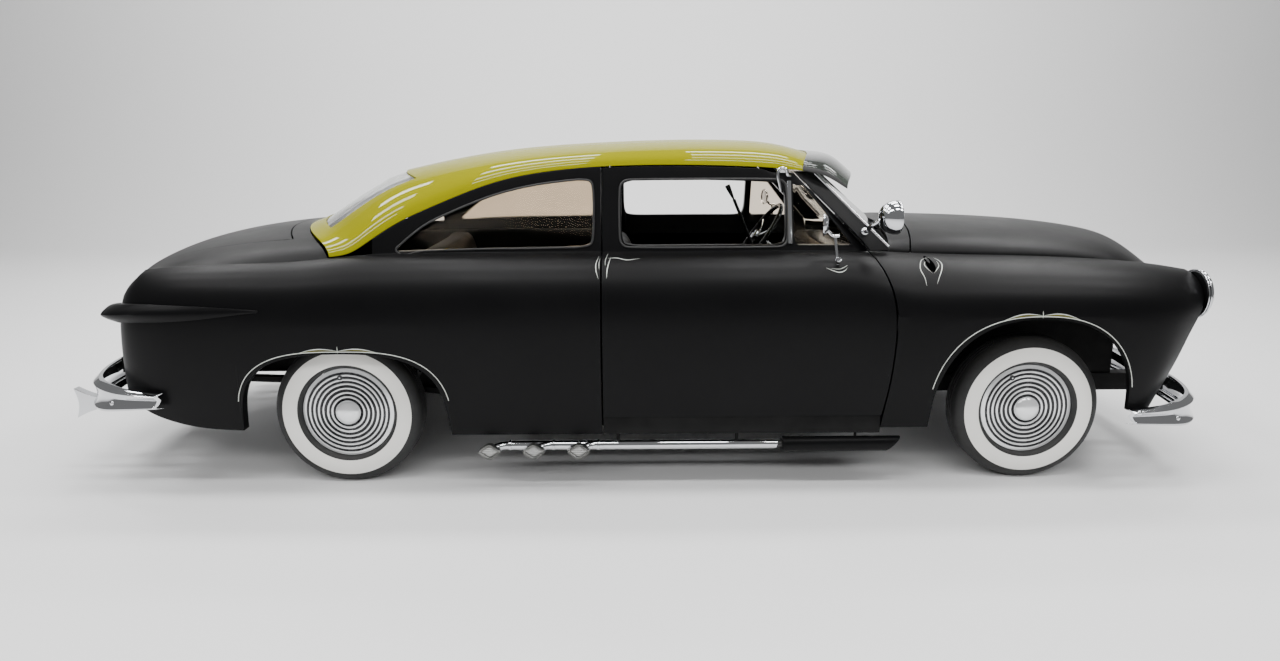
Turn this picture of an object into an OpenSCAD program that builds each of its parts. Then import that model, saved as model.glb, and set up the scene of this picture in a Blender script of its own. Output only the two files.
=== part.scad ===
// Chopped two-door custom sedan: +X forward, +Y left, +Z up, ground at z = 0, millimetres.

/* [Running gear] */
// Front axle position along the car
front_axle_x = 1648; // [1618:5:1678]
// Rear axle position along the car
rear_axle_x = -1248; // [-1278:5:-1218]
// Outer tyre radius, also the hub height
tyre_r = 312; // [306:1:318]
// Tyre section width
tyre_w = 165; // [150:1:175]
// Distance between the left and right tyre centre planes
track = 1434; // [1420:2:1446]
// Wheel rim radius under the tyre bead
rim_r = 194; // [188:1:198]
// Spindle radius in the wheel hub
spindle_r = 16; // [12:0.5:20]
// King pin radius in the steering knuckle
kingpin_r = 14; // [10:0.5:16]
// Radial running clearance of pins in their bores
run_gap = 0.05; // [0.02:0.01:0.1]
// Ripple rings on each wheel cover
ripple_count = 7; // [4:1:9]
// Height of the ripples on a wheel cover
ripple_h = 4; // [1:0.5:6]

/* [Body] */
// Widest half width of the body sides
body_half_w = 925; // [905:5:945]
// Door thickness below the window
door_t = 80; // [60:5:90]
// Thickness of the side walls
wall_t = 50; // [40:2:54]
// Thickness of the window frames and pillars
frame_t = 40; // [30:2:48]
// Thickness of roof, hood, deck and fender panels
panel_t = 26; // [18:1:32]
// Gap round doors and lids
shut_gap = 6; // [5:0.5:9]
// Gap between fixed panels
seam = 0.3; // [0.2:0.1:0.6]
// Roof height on the centre line
roof_z = 1437; // [1425:2:1449]
// Underside of the sills
sill_z = 238; // [230:2:250]
// Lower edge of the doors
door_z = 318; // [312:2:330]
// Top of the wheel opening, front
arch_front_z = 733; // [715:2:750]
// Top of the wheel opening, rear
arch_rear_z = 602; // [585:2:615]
// Glass thickness
glass_t = 6; // [4:0.5:8]

/* [Outside fittings] */
// Side pipe radius
pipe_r = 20; // [15:1:26]
// Height of the side pipe centre line
pipe_z = 186; // [175:1:195]
// Headlamp ring radius
lamp_r = 105; // [90:1:110]
// Front face of the front bumper
bumper_front_x = 2500; // [2480:5:2520]
// Rear tip of the fishtail exhausts
tail_tip_x = -2500; // [-2520:5:-2480]

/* [Hidden] */
black = [0.05, 0.05, 0.055];
gold = [0.72, 0.66, 0.25];
chrome = [0.8, 0.81, 0.83];
dark = [0.12, 0.12, 0.13];
rubber = [0.08, 0.08, 0.08];
pane = [0.35, 0.4, 0.38, 0.4];
hide = [0.22, 0.2, 0.18];

// Cubic through the rows of a table: x in column 0, the value in column c.
function seg(t, x, i = 0) = (i >= len(t) - 2 || x < t[i + 1][0]) ? i : seg(t, x, i + 1);
function slope(t, c, i) =
    let (a = max(0, i - 1), b = min(len(t) - 1, i + 1))
    (t[b][c] - t[a][c]) / (t[b][0] - t[a][0]);
function curve(t, c, x) =
    let (i = seg(t, x), h = t[i + 1][0] - t[i][0], u = min(1, max(0, (x - t[i][0]) / h)))
    (2 * u * u * u - 3 * u * u + 1) * t[i][c] + (u * u * u - 2 * u * u + u) * h * slope(t, c, i)
    + (3 * u * u - 2 * u * u * u) * t[i + 1][c] + (u * u * u - u * u) * h * slope(t, c, i + 1);
function mix(a, b, u) = a + (b - a) * u;
function row(a, b, n) = [for (k = [0 : n]) mix(a, b, k / n)];

// Side of the body: shoulder height, half width there, tuck-under at the sill, edge of the top.
S_ZS = 1;
S_W = 2;
S_TUCK = 3;
S_YT = 4;
S_ZT = 5;
// Inner edge of the fenders beside the hood.
hood_edge_y = body_half_w - 299;
side_tab = [
    [-2190, 760, body_half_w - 180, 10, 690, 905],
    [-2150, 745, body_half_w - 110, 20, 715, 912],
    [-2080, 735, body_half_w - 63, 35, 738, 920],
    [-1950, 730, body_half_w - 25, 50, 760, 937],
    [-1700, 730, body_half_w - 5, 60, 765, 948],
    [-1400, 730, body_half_w, 60, 752, 957],
    [-1203, 735, body_half_w, 60, 740, 978],
    [-900, 740, body_half_w, 60, 738, 985],
    [-160, 745, body_half_w, 60, 738, 988],
    [500, 745, body_half_w - 1, 60, 738, 990],
    [950, 745, body_half_w - 3, 60, 730, 988],
    [1100, 745, body_half_w - 4, 60, 642, 972],
    [1150, 745, body_half_w - 4, 60, hood_edge_y + 2, 966],
    [1400, 745, body_half_w - 5, 60, hood_edge_y, 957],
    [1650, 745, body_half_w - 7, 60, hood_edge_y, 951],
    [1900, 740, body_half_w - 15, 55, hood_edge_y, 940],
    [2100, 735, body_half_w - 35, 45, hood_edge_y, 925],
    [2220, 730, body_half_w - 65, 35, hood_edge_y, 910],
    [2330, 725, body_half_w - 125, 20, hood_edge_y, 890]];
// Lower edge of the rear quarter behind the wheel.
tail_low = [[-2190, 440], [-2120, 380], [-2035, 327], [-1960, 303], [-1830, 273], [-1641, 262], [-1500, 256]];
// Wheel openings: centre, half length, power.
rear_arch = [rear_axle_x + 23, 430, 3];
front_arch = [front_axle_x - 33, 418, 2.4];
function arch(a, x, z0, z1) =
    let (d = abs(x - a[0]) / a[1])
    d >= 1 ? z0 : z0 + (z1 - z0) * pow(1 - pow(d, a[2]), 1 / a[2]);
function arch_cols(a, n) = [for (k = [0 : n]) a[0] - a[1] * cos(180 * k / n)];
function rear_low(x) =
    arch(rear_arch, x, x < rear_arch[0] ? curve(tail_low, 1, x) : sill_z, arch_rear_z);
// Lower edge of the front fender behind and before the wheel.
fender_low = [262, 330];
function front_low(x) = arch(front_arch, x, x < front_arch[0] ? fender_low[0] : fender_low[1], arch_front_z);

// Point on a side section: r 0..1 sill to shoulder, 1..2 over the shoulder, 2..3 up to the roof border.
function side(x, r, low, t, up, upright) =
    let (zs = curve(side_tab, S_ZS, x), w = curve(side_tab, S_W, x), yt = curve(side_tab, S_YT, x),
        zt = curve(side_tab, S_ZT, x), tuck = curve(side_tab, S_TUCK, x))
    r <= 1 ?
        let (z = mix(low, zs, r))
        [w - t - tuck * pow((zs - z) / (zs - sill_z), 2), z]
    : r <= 2 ?
        let (a = 90 * (r - 1))
        [yt - upright * t + (w - yt - t * (1 - upright)) * cos(a), zs + (zt - t - zs) * sin(a)]
    :
        [mix(yt, up[0], r - 2) - frame_t, mix(zt, up[1], r - 2)];
function side_out(x, r, low, up) =
    r <= 2 ? side(x, r, low, 0, up, 1) : side(x, r, low, 0, up, 1) + [frame_t, 0];

// Closed sheet between an outer and an inner grid of points, with rectangles of cells left open.
module sheet(outer, inner, holes = []) {
    n = len(outer);
    m = len(outer[0]);
    function gone(i, j) = i < 0 || j < 0 || i >= n - 1 || j >= m - 1
        || len([for (h = holes) if (i >= h[0] && i < h[1] && j >= h[2] && j < h[3]) 1]) > 0;
    function id(k, i, j) = k * n * m + i * m + j;
    function quad(a, b, c, d) = [[a, b, c], [a, c, d]];
    cells = [for (i = [0 : n - 2]) for (j = [0 : m - 2]) if (!gone(i, j)) [i, j]];
    faces = [for (c = cells)
        let (i = c[0], j = c[1],
            p = [id(0, i, j), id(0, i + 1, j), id(0, i + 1, j + 1), id(0, i, j + 1)],
            q = [id(1, i, j), id(1, i + 1, j), id(1, i + 1, j + 1), id(1, i, j + 1)],
            out = [gone(i, j - 1), gone(i + 1, j), gone(i, j + 1), gone(i - 1, j)])
        each concat(quad(p[0], p[1], p[2], p[3]), quad(q[3], q[2], q[1], q[0]),
            [for (k = [0 : 3]) if (out[k])
                each quad(p[(k + 1) % 4], p[k], q[k], q[(k + 1) % 4])])];
    polyhedron(points = concat([for (r = outer) each r], [for (r = inner) each r]), faces = faces);
}
module both() {
    children();
    mirror([0, 1, 0]) children();
}

// Crowned surface between a side line and a centre line.
// Station columns: station, side x, y, z, centre x, z, how far the sheet's back leans to the front,
// and the power of the plan curve where it isn't 2.
C_XS = 1;
C_YS = 2;
C_ZS = 3;
C_XC = 4;
C_ZC = 5;
C_LEAN = 6;
C_PLAN = 7;
function crown(tab, s, v, p) =
    let (f = pow(max(0, 1 - pow(abs(v), p)), 1 / p), y = curve(tab, C_YS, s) * v,
        q = len(tab[0]) > C_PLAN ? curve(tab, C_PLAN, s) : 2)
    [mix(curve(tab, C_XS, s), curve(tab, C_XC, s), 1 - pow(abs(v), q)), y,
        mix(curve(tab, C_ZS, s), curve(tab, C_ZC, s), f)];
function crown_back(tab, s, v, p, t) =
    let (a = curve(tab, C_LEAN, s))
    crown(tab, s, v, p) + t * [sin(a), 0, -cos(a)];
module crowned(tab, stations, across, p, t0, t1, holes = [])
    sheet([for (s = stations) [for (v = across) crown_back(tab, s, -v, p, t0)]],
        [for (s = stations) [for (v = across) crown_back(tab, s, -v, p, t1)]], holes);
function back(list) = [for (i = [len(list) - 1 : -1 : 0]) list[i]];

roof_tab = [
    [0, -1290, 744, 971 + seam, -1560, 1063, 0],
    [1, -1203, 739, 985 + seam, -1490, 1090, 0],
    [2, -1111, 724, 1045 + seam, -1375, 1165, 0],
    [3, -1003, 704, 1112 + seam, -1250, 1240, 0],
    [4, -839, 680, 1184 + seam, -1110, 1303, 0],
    [5, -568, 656, 1284 + seam, -700, 1384, 0],
    [6, -232, 641, 1330 + seam, -300, roof_z - 17, 0],
    [7, 150, 635, 1339 + seam, 150, roof_z, 0],
    [8, 450, 634, 1331 + seam, 490, roof_z - 3, 0],
    [9, 600, 635, 1321 + seam, 660, roof_z - 22, 0],
    [10, 690, 636, 1310 + seam, 800, roof_z - 61, 0]];
roof_power = 2.6;
roof_v = [for (k = [-10 : 10]) sin(9 * k)];
roof_s = row(0, 10, 20);
// Edge between the roof and the body sides, at a place along the car: half width and height.
roof_edge = [for (s = roof_s) crown(roof_tab, s, 1, roof_power)];
roof_edge_y = [for (p = roof_edge) [p[0], p[1]]];
roof_edge_z = [for (p = roof_edge) [p[0], p[2] - seam]];
function border(x) = [lookup(x, roof_edge_y), lookup(x, roof_edge_z)];
function roof_in(s, v) =
    let (k = 1 - panel_t / curve(roof_tab, C_YS, s), o = crown(roof_tab, s, v, roof_power))
    [o[0], o[1] * k, o[2] - panel_t * pow(max(0, 1 - pow(abs(v), roof_power)), 1 / roof_power)];
roof_glass_i = [2, 8];
roof_glass_j = [5, 15];

module roof_panel()
    color(gold)
    sheet([for (s = roof_s) [for (v = roof_v) crown(roof_tab, s, -v, roof_power)]],
        [for (s = roof_s) [for (v = roof_v) roof_in(s, -v)]],
        [[roof_glass_i[0], roof_glass_i[1], roof_glass_j[0], roof_glass_j[1]]]);

// Quarter panel: columns along the car, rows from the sill to the roof border.
quarter_front_x = -160 - shut_gap;
// Front end of the quarter window and the radius of the window corners.
quarter_glass_x = -200;
window_corner = 40;
quarter_x = concat([-2190, -2165, -2120, -2050, -1950, -1850, -1750], arch_cols(rear_arch, 12),
    [-700, -580, -460, -340, -240, -212, quarter_glass_x, quarter_front_x]);
quarter_window = [15, 26, 10, 12];
// Upper edge of the quarter window by place along the car, from its pointed tip: x, row.
window_top = [[-1010, 2.17], [-921, 2.6], [-795, 2.74], [-580, 2.82], [-340, 2.855], [quarter_glass_x, 2.86]];
// How far a rounded window corner stands in at a distance from the window's end.
function corner(d) =
    d < 0 || d >= window_corner ? 0
    : window_corner - sqrt(pow(window_corner, 2) - pow(window_corner - d, 2));
function quarter_rows(x) =
    let (c = corner(quarter_glass_x - x) / max(1, border(x)[1] - curve(side_tab, S_ZT, x)), low = 2.06 + c,
        top = curve(window_top, 1, x) - c)
    concat(row(0, 1, 5), row(1.25, 2, 3), [low, (low + top) / 2, top, 3]);
// Rear edge of the quarter: how far it leans forward with height.
tail_edge = [[440, 0], [560, 0], [700, 10], [800, 30], [860, 60], [905, 110], [930, 120]];
// Where the quarter's columns begin to lean with that edge.
tail_lean_x = -2050;
function tail_share(x) = max(0, min(1, (tail_lean_x - x) / (tail_lean_x - quarter_x[0])));
roof_foot_x = -1203;
function quarter_pt(x, r, t) =
    let (up = x < roof_foot_x ? [curve(side_tab, S_YT, x), curve(side_tab, S_ZT, x) + 20] : border(x),
        g = x < roof_foot_x ? 0 : 1,
        e = tail_share(x),
        p = t == 0 ? side_out(x, r, rear_low(x), up) : side(x, r, rear_low(x), t, up, g))
    [x + e * curve(tail_edge, 1, side_out(x, r, rear_low(x), up)[1]), p[0], p[1]];
quarter_cut = len([for (x = quarter_x) if (x < roof_foot_x) 1]);
module quarter_left()
    color(black)
    sheet([for (x = quarter_x) [for (r = quarter_rows(x)) quarter_pt(x, r, 0)]],
        [for (x = quarter_x) [for (r = quarter_rows(x)) quarter_pt(x, r, wall_t)]],
        [quarter_window, [0, quarter_cut, quarter_window[2] - 1, quarter_window[3] + 2]]);
module quarter_right() mirror([0, 1, 0]) quarter_left();

// Deck and tail: the surface from the roof's foot to the bumper; the lid is cut out of it.
deck_tab = [
    [0, -1292, 744, 958, -1564, 1057, 0],
    [1, -1480, 754, 951, -1725, 1046, 5],
    [2, -1680, 763, 946, -1918, 1020, 10],
    [3, -1860, 763, 941, -2085, 979, 20],
    [4, -2000, 750, 929, -2216, 924, 35],
    [5, -2080, 687, 903, -2320, 865, 50],
    [6, -2130, 687, 858, -2390, 800, 65],
    [7, -2160, 687, 800, -2425, 730, 80],
    [8, -2182, 687, 690, -2440, 640, 90],
    [9, -2192, 687, 570, -2440, 550, 90],
    [10, -2192, 687, 482, -2432, 480, 90]];
deck_power = 2.2;
lid_s = [0.5, 8.5];
lid_v = 0.74;
lid_gap_s = shut_gap / 330;
lid_gap_v = shut_gap / 1500;
deck_s = concat([0, lid_s[0] - lid_gap_s], row(1, 8, 14), [lid_s[1] + lid_gap_s, 9.2, 10]);
deck_v = concat([-1, -0.94, -0.86, -0.79, -lid_v - lid_gap_v], row(-0.6, 0.6, 6),
    [lid_v + lid_gap_v, 0.79, 0.86, 0.94, 1]);
// Hinge pin of the lid, in the gap in front of it.
lid_pin = [curve(deck_tab, C_XC, lid_s[0]) + seam, curve(deck_tab, C_ZC, lid_s[0]) - 4];
module deck_surround()
    color(black) {
        crowned(deck_tab, back(deck_s), deck_v, deck_power, 0, panel_t,
            [[2, len(deck_s) - 2, 4, len(deck_v) - 5]]);
        cross_pin(lid_pin);
    }
lid_rows = concat([lid_s[0] + lid_gap_s], row(1, 8, 10), [lid_s[1] - lid_gap_s]);
lid_cols = concat([-lid_v + lid_gap_v], row(-0.6, 0.6, 6), [lid_v - lid_gap_v]);
module deck_lid()
    color(black)
    crowned(deck_tab, back(lid_rows), lid_cols, deck_power, 0, panel_t);

// Door: front edge by height, then the slanted front of the window frame.
door_front = [[300, 993], [325, 998], [433, 1015], [593, 1026], [720, 1028], [849, 1010], [966, 962],
    [1042, 905], [1165, 781], [1290, 655], [1338, 610]];
door_rear_x = -160;
// Front end of the roof's edge over the door.
door_top_x = 690;
door_ref_x = 1028;
// Slope of the rear edge, so that the inner corner swings clear of the quarter panel.
door_bevel = 0.45;
divider_x = [603, 636];
// Rear end of the door window.
door_glass_x = -81;
door_x = concat([door_rear_x, door_glass_x, -69, -41], row(60, 500, 4), [563, 591], divider_x,
    row(720, 960, 3), [door_ref_x]);
// Window and vent openings: first and last column, first and last row.
door_windows = [[1, 11, 9, 11], [12, 16, 9, 11]];
// Height from the window sill to the roof border.
window_rise = 340;
function door_rows(x) =
    let (c = max(corner(x - door_glass_x), corner(divider_x[0] - x)) / window_rise)
    concat(row(0, 1, 4), row(1.25, 2, 3), [2.07 + c, 2.45, 2.84 - c, 3]);
function door_slide(x, z) =
    let (keep = z > 1300 ? 500 : divider_x[1], f = curve(door_front, 1, z))
    x <= keep ? x : keep + (x - keep) * (f - keep) / (door_ref_x - keep);
function door_pt(x, r, t) =
    let (xb = min(x, door_top_x), up = border(xb) - [0, shut_gap], o = side_out(x, r, door_z, up),
        p = t == 0 ? o : side(x, r, door_z, t, up, 1))
    [door_slide(x, o[1]) + (x == door_rear_x && t > 0 ? door_bevel * (r <= 2 ? t : frame_t) : 0), p[0], p[1]];
module door_left()
    color(black)
    sheet([for (x = door_x) [for (r = door_rows(x)) door_pt(x, r, 0)]],
        [for (x = door_x) [for (r = door_rows(x)) door_pt(x, r, door_t)]], door_windows);
module door_right() mirror([0, 1, 0]) door_left();

// Front fender: from the door's front edge to the headlamp.
fender_front = [[300, 2160], [420, 2212], [548, 2264], [672, 2304], [760, 2342], [850, 2350], [900, 2346]];
fender_ref_x = 2330;
// Columns along the cowl's sides.
cowl_cols = [1087, 1120, 1155];
fender_x = concat([door_ref_x + shut_gap], cowl_cols, arch_cols(front_arch, 14),
    [2110, 2190, 2260, fender_ref_x]);
// Where the columns begin to lean towards the door's edge and the headlamp, and the power of the second lean.
fender_lean_x = [1200, 2060];
fender_lean_p = 1.2;
fender_r = concat(row(0, 1, 5), row(1.2, 2, 4));
function fender_pt(x, r, t) =
    let (low = front_low(x), o = side_out(x, r, low, [0, 0]), p = t == 0 ? o : side(x, r, low, t, [0, 0], 0),
        a = pow(max(0, (fender_lean_x[0] - x) / (fender_lean_x[0] - fender_x[0])), 2),
        b = pow(max(0, (x - fender_lean_x[1]) / (fender_ref_x - fender_lean_x[1])), fender_lean_p),
        to_door = curve(door_front, 1, o[1]) - door_ref_x,
        to_lamp = curve(fender_front, 1, o[1]) - fender_ref_x)
    [x + a * to_door + b * to_lamp, p[0], p[1]];
// Hinge pin of the door, in the gap in front of it.
pin_r = shut_gap / 2 - 0.2;
door_pin = [door_ref_x + shut_gap / 2, body_half_w - 5, 690];
pin_len = 60;
// Short cross pins of the hood and the deck lid.
cross_pin_r = shut_gap / 2 - 0.5;
cross_pin_len = 12;
module cross_pin(at)
    translate([at[0], 0, at[1]])
    rotate([90, 0, 0])
    cylinder(r = cross_pin_r, h = cross_pin_len, center = true, $fn = 32);
module fender_left()
    color(black) {
        sheet([for (x = fender_x) [for (r = fender_r) fender_pt(x, r, 0)]],
            [for (x = fender_x) [for (r = fender_r) fender_pt(x, r, panel_t)]]);
        translate(door_pin) cylinder(r = pin_r, h = pin_len, $fn = 32);
    }
module fender_right() mirror([0, 1, 0]) fender_left();

// Hood between the fenders, with the pin of its hinge in the gap behind it.
hood_half_w = hood_edge_y - shut_gap - 2;
hood_pin = [1242, 1063];
hood_tab = [
    [0, 1160, hood_half_w, 962, hood_pin[0] + shut_gap / 2, 1068, 0, 2],
    [1, 1400, hood_half_w, 955, 1480, 1064, 0, 2],
    [2, 1640, hood_half_w, 949, 1750, 1053, 0, 1.9],
    [3, 1850, hood_half_w, 940, 2010, 1034, 0, 1.6],
    [4, 2010, hood_half_w, 928, 2230, 1000, -10, 1.4],
    [5, 2120, hood_half_w, 908, 2350, 945, -25, 1.4],
    [6, 2220, hood_half_w - 2, 882, 2420, 870, -45, 1.6],
    [7, 2312, hood_half_w - 6, 850, 2445, 810, -60, 2]];
hood_power = 2.2;
hood_v = [for (k = [-7 : 7]) sin(k * 90 / 7)];
module hood()
    color(black)
    crowned(hood_tab, row(0, 7, 14), hood_v, hood_power, 0, panel_t);

// Cowl top between the windscreen and the hood, the firewall under it and the hood's hinge pin.
cowl_mid = [[1122, 1062], [1180, 1065], [hood_pin[0] - shut_gap / 2, 1066]];
cowl_tab = [for (k = [0 : 2])
    let (p = fender_pt(cowl_cols[k], 2, 0))
    [k, p[0], p[1] - seam, p[2], cowl_mid[k][0], cowl_mid[k][1], 0]];
firewall_x = 1105;
firewall_t = 20;
floor_z = 262;
floor_t = 24;
seat_floor = floor_z + floor_t;
floor_w = body_half_w - 105;
module cowl()
    color(black) {
        crowned(cowl_tab, row(0, 2, 2), hood_v, hood_power, 0, panel_t);
        cross_pin(hood_pin);
        translate([firewall_x, 0, 0])
            rotate([90, 0, 90])
            linear_extrude(firewall_t)
            polygon(concat(firewall_side, [for (q = back(firewall_side)) [-q[0], q[1]]]));
    }

// A-pillars beside the windscreen and the bar between its two panes.
screen_front = [[986, 1052], [1041, 998], [1250, 787], [1309, 727]];
screen_foot = [1118, 1068];
screen_head = [808, roof_z - 61 - panel_t - seam];
pillar_z = [984.5, 1041, 1150, 1250, border(door_top_x)[1]];
// Foot and head of the pillars' outer edge: half width, height.
pillar_ends = [[730, 988], [634, 1310]];
pillar_in = 34;
function pillar_y(z) =
    let (a = pillar_ends[0], b = pillar_ends[1])
    mix(a[0], b[0], (z - a[1]) / (b[1] - a[1]));
function pillar_pt(k, z, t) =
    k == 0 ? [curve(door_front, 1, z) + shut_gap, pillar_y(z) - t, z]
    : [curve(screen_front, 1, z) - 0.3 * t, pillar_y(z) - pillar_in - t, z];
module pillar()
    sheet([for (k = [0, 1]) [for (z = pillar_z) pillar_pt(k, z, 0)]],
        [for (k = [0, 1]) [for (z = pillar_z) pillar_pt(k, z, frame_t)]]);
bar_w = 18;
module windscreen_frame()
    color(black) {
        both() pillar();
        rotate([90, 0, 0])
            linear_extrude(bar_w, center = true)
            polygon([screen_foot, screen_foot - [22, -4], screen_head - [18, 0], screen_head]);
    }

// Glass: two flat windscreen panes, the quarter panes and the rear window.
screen_side = [[1036, 640, 1000], [722, 550, 1312]];
module screen_pane()
    sheet([screen_side, [screen_foot_at(), screen_head_at()]],
        [[for (p = screen_side) p - pane_off], [screen_foot_at() - pane_off, screen_head_at() - pane_off]]);
pane_off = [glass_t * 0.7, 0, glass_t * 0.7];
function screen_foot_at() = [screen_foot[0] - 3, bar_w / 2 + seam, screen_foot[1] + 6];
function screen_head_at() = [screen_head[0] - 4, bar_w / 2 + seam, screen_head[1] - 8];
quarter_pane_x = [for (k = [quarter_window[0] : quarter_window[1]]) quarter_x[k]];
// Rows and ends of the pane lie a hair inside the opening.
function quarter_pane_rows(x) =
    let (q = quarter_rows(x), k = quarter_window[2])
    [q[k] + 0.005, q[k + 1], q[k + 2] - 0.005];
function quarter_pane_pt(x, r, d) =
    quarter_pt(max(quarter_pane_x[0] + seam, min(quarter_glass_x - seam, x)), r, 0) - [0, d, 0];
function quarter_pane_face(d) =
    [for (x = quarter_pane_x) [for (r = quarter_pane_rows(x)) quarter_pane_pt(x, r, d)]];
module quarter_pane()
    sheet(quarter_pane_face(frame_t / 2), quarter_pane_face(frame_t / 2 + glass_t));
// Rear window: just inside the roof's opening, sunk by shares of the roof's thickness.
rear_pane_in = [0.3, 0.3 + glass_t / panel_t];
function inset_list(list, ends, gap) =
    concat([list[ends[0]] + gap], [for (i = [ends[0] + 1 : ends[1] - 1]) list[i]], [list[ends[1]] - gap]);
rear_pane_s = inset_list(roof_s, roof_glass_i, 0.006);
rear_pane_v = inset_list(roof_v, roof_glass_j, 0.0007);
function rear_pane_pt(s, v, u) = mix(crown(roof_tab, s, v, roof_power), roof_in(s, v), u);
module fixed_glass()
    color(pane) {
        both() screen_pane();
        both() quarter_pane();
        sheet([for (s = rear_pane_s) [for (v = rear_pane_v) rear_pane_pt(s, -v, rear_pane_in[0])]],
            [for (s = rear_pane_s) [for (v = rear_pane_v) rear_pane_pt(s, -v, rear_pane_in[1])]]);
    }
vent_r = [2.073, 2.45, 2.837];
vent_x = [divider_x[1] + seam, 720, 800, 880, 960 - seam];
module vent_left()
    color(pane)
    sheet([for (x = vent_x) [for (r = vent_r) door_pt(x, r, 0) - [0, frame_t / 2, 0]]],
        [for (x = vent_x) [for (r = vent_r) door_pt(x, r, 0) - [0, frame_t / 2 + glass_t, 0]]]);
module vent_right() mirror([0, 1, 0]) vent_left();

// Front panel between the fenders: valance, slotted grille and the strip under the hood.
grille_t = 20;
grille_col = fender_x[len(fender_x) - 2];
grille_rows = [0.19, 0.28, 0.38, 0.44, 0.54, 0.6, 0.7, 0.78];
grille_bow = 120;
function grille_pt(k, v, d) =
    let (p = fender_pt(grille_col, grille_rows[k], panel_t))
    [p[0] + grille_bow * (1 - v * v) - d, (p[1] - 3 * seam) * v, p[2]];
grille_v = row(-1, 1, 14);
module front_panel()
    color(chrome)
    sheet([for (k = [len(grille_rows) - 1 : -1 : 0]) [for (v = grille_v) grille_pt(k, v, 0)]],
        [for (k = [len(grille_rows) - 1 : -1 : 0]) [for (v = grille_v) grille_pt(k, v, grille_t)]],
        [for (k = [1 : 2 : 5]) [k, k + 1, 1, len(grille_v) - 2]]);

// Floor with the sills, the tunnel, the boot floor and the wheel houses.
tunnel_w = 170;
tunnel_z = 440;
boot_x = -800;
boot_z = 516;
boot_end_x = -2150;
boot_w = track / 2 - 117;
house_z = 690;
house_w = body_half_w - 59;
plate_t = 12;
sill_w = floor_w + 42;
// The sills end behind the fenders' rear edge.
sill_front_x = door_front[0][1] + shut_gap - seam;
// Left half of the firewall, from the tunnel out to the fender and up to the cowl: y, z.
firewall_side = [[tunnel_w, tunnel_z + plate_t], [tunnel_w, seat_floor + seam],
    [floor_w + 22, seat_floor + seam], [floor_w + 46, 830], [640, 930]];
house_x = [rear_axle_x - 390, rear_axle_x + 420];
// Inner walls of the front wheel houses, standing on the frame rails.
apron_y = 407;
apron_x = 2195;
apron_z = 850;
module box(a, b) translate(a) cube(b - a);
module floor_pan()
    color(dark) {
        both() {
            box([boot_x, tunnel_w - plate_t, floor_z], [firewall_x + firewall_t, floor_w, floor_z + floor_t]);
            box([boot_x, tunnel_w - plate_t, floor_z + floor_t], [firewall_x - 1, tunnel_w, tunnel_z]);
            box([door_rear_x, floor_w, sill_z], [sill_front_x, sill_w, door_z - shut_gap]);
            box([house_x[0], boot_w - plate_t, boot_z + floor_t], [house_x[1], boot_w, house_z]);
            box([house_x[0], boot_w - plate_t, house_z], [house_x[1], house_w, house_z + plate_t]);
            box([boot_x - plate_t, tunnel_w - plate_t, floor_z], [boot_x, floor_w, boot_z]);
            box([firewall_x + firewall_t + seam, apron_y, front_rail_z[1] + seam],
                [apron_x, apron_y + plate_t, apron_z]);
        }
        box([boot_x, -tunnel_w, tunnel_z], [firewall_x - 1, tunnel_w, tunnel_z + plate_t]);
        box([boot_x - plate_t, -tunnel_w, tunnel_z], [boot_x, tunnel_w, boot_z]);
        box([boot_end_x, -boot_w, boot_z], [boot_x, boot_w, boot_z + floor_t]);
    }

// Bumpers: a hollow-faced bar with a rolled lower lip, bent round each end and narrowed there like a spoon.
function bar_pt(x0, x1, w, v, z, d) =
    let (f = pow(max(0, 1 - pow(abs(v), 3)), 1 / 3))
    [mix(x0, x1, f) - sign(x1 - x0) * d, (w - d) * v, z];
bar_v = [for (k = [-10 : 10]) sin(9 * k)];
spoon_v = 0.9;
spoon_cut = 0.75;
function spoon(v) = sqrt(1 - spoon_cut * pow(max(0, (abs(v) - spoon_v) / (1 - spoon_v)), 2));
module bumper(x0, x1, w, rows, t) {
    s = x1 > x0 ? -1 : 1;
    mid = (rows[0][0] + rows[len(rows) - 1][0]) / 2;
    sheet([for (q = rows) [for (v = bar_v) bar_pt(x0, x1, w, s * v, mix(mid, q[0], spoon(v)), q[1])]],
        [for (q = rows) [for (v = bar_v) bar_pt(x0, x1, w, s * v, mix(mid, q[0], spoon(v)), q[1] + t)]]);
}
bumper_t = 12;
// Rows from the lip up: height, how far the face stands in.
front_rows = [[249, 26], [256, 4], [268, 0], [284, 10], [318, 16], [350, 7], [372, 24]];
rear_rows = [[337, 26], [344, 4], [356, 0], [372, 10], [410, 16], [446, 6], [466, 24]];
bumper_w = body_half_w - 3;
// Where each bar's ends and its middle are along the car.
front_bar_x = [2050, bumper_front_x];
rear_bar_x = [-1996, -2440];
module front_bumper()
    color(chrome)
    bumper(front_bar_x[0], front_bar_x[1], bumper_w, back(front_rows), bumper_t);
module rear_bumper()
    color(chrome)
    bumper(rear_bar_x[0], rear_bar_x[1], bumper_w, rear_rows, bumper_t);

// Ladder frame: two rails kicked up over the axles, cross members and jacking pads.
rail_y = 395;
rail_w = 70;
hub_z = tyre_r;
// Lower and upper edge of the rails behind, under and before the cabin.
rear_rail_z = [400, 470];
mid_rail_z = [195, 259];
front_rail_z = [290, 370];
// The rails end against the back of the bumpers.
rail_nose_x = bar_back_x(front_bar_x, front_rows) - seam;
rail_tail_x = bar_back_x(rear_bar_x, rear_rows) + 3 * seam;
function bar_back_x(ends, rows) =
    let (d = rows[len(rows) - 1][1] + bumper_t)
    bar_pt(ends[0], ends[1], bumper_w, (rail_y + rail_w / 2) / (bumper_w - d), 0, d)[0];
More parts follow.
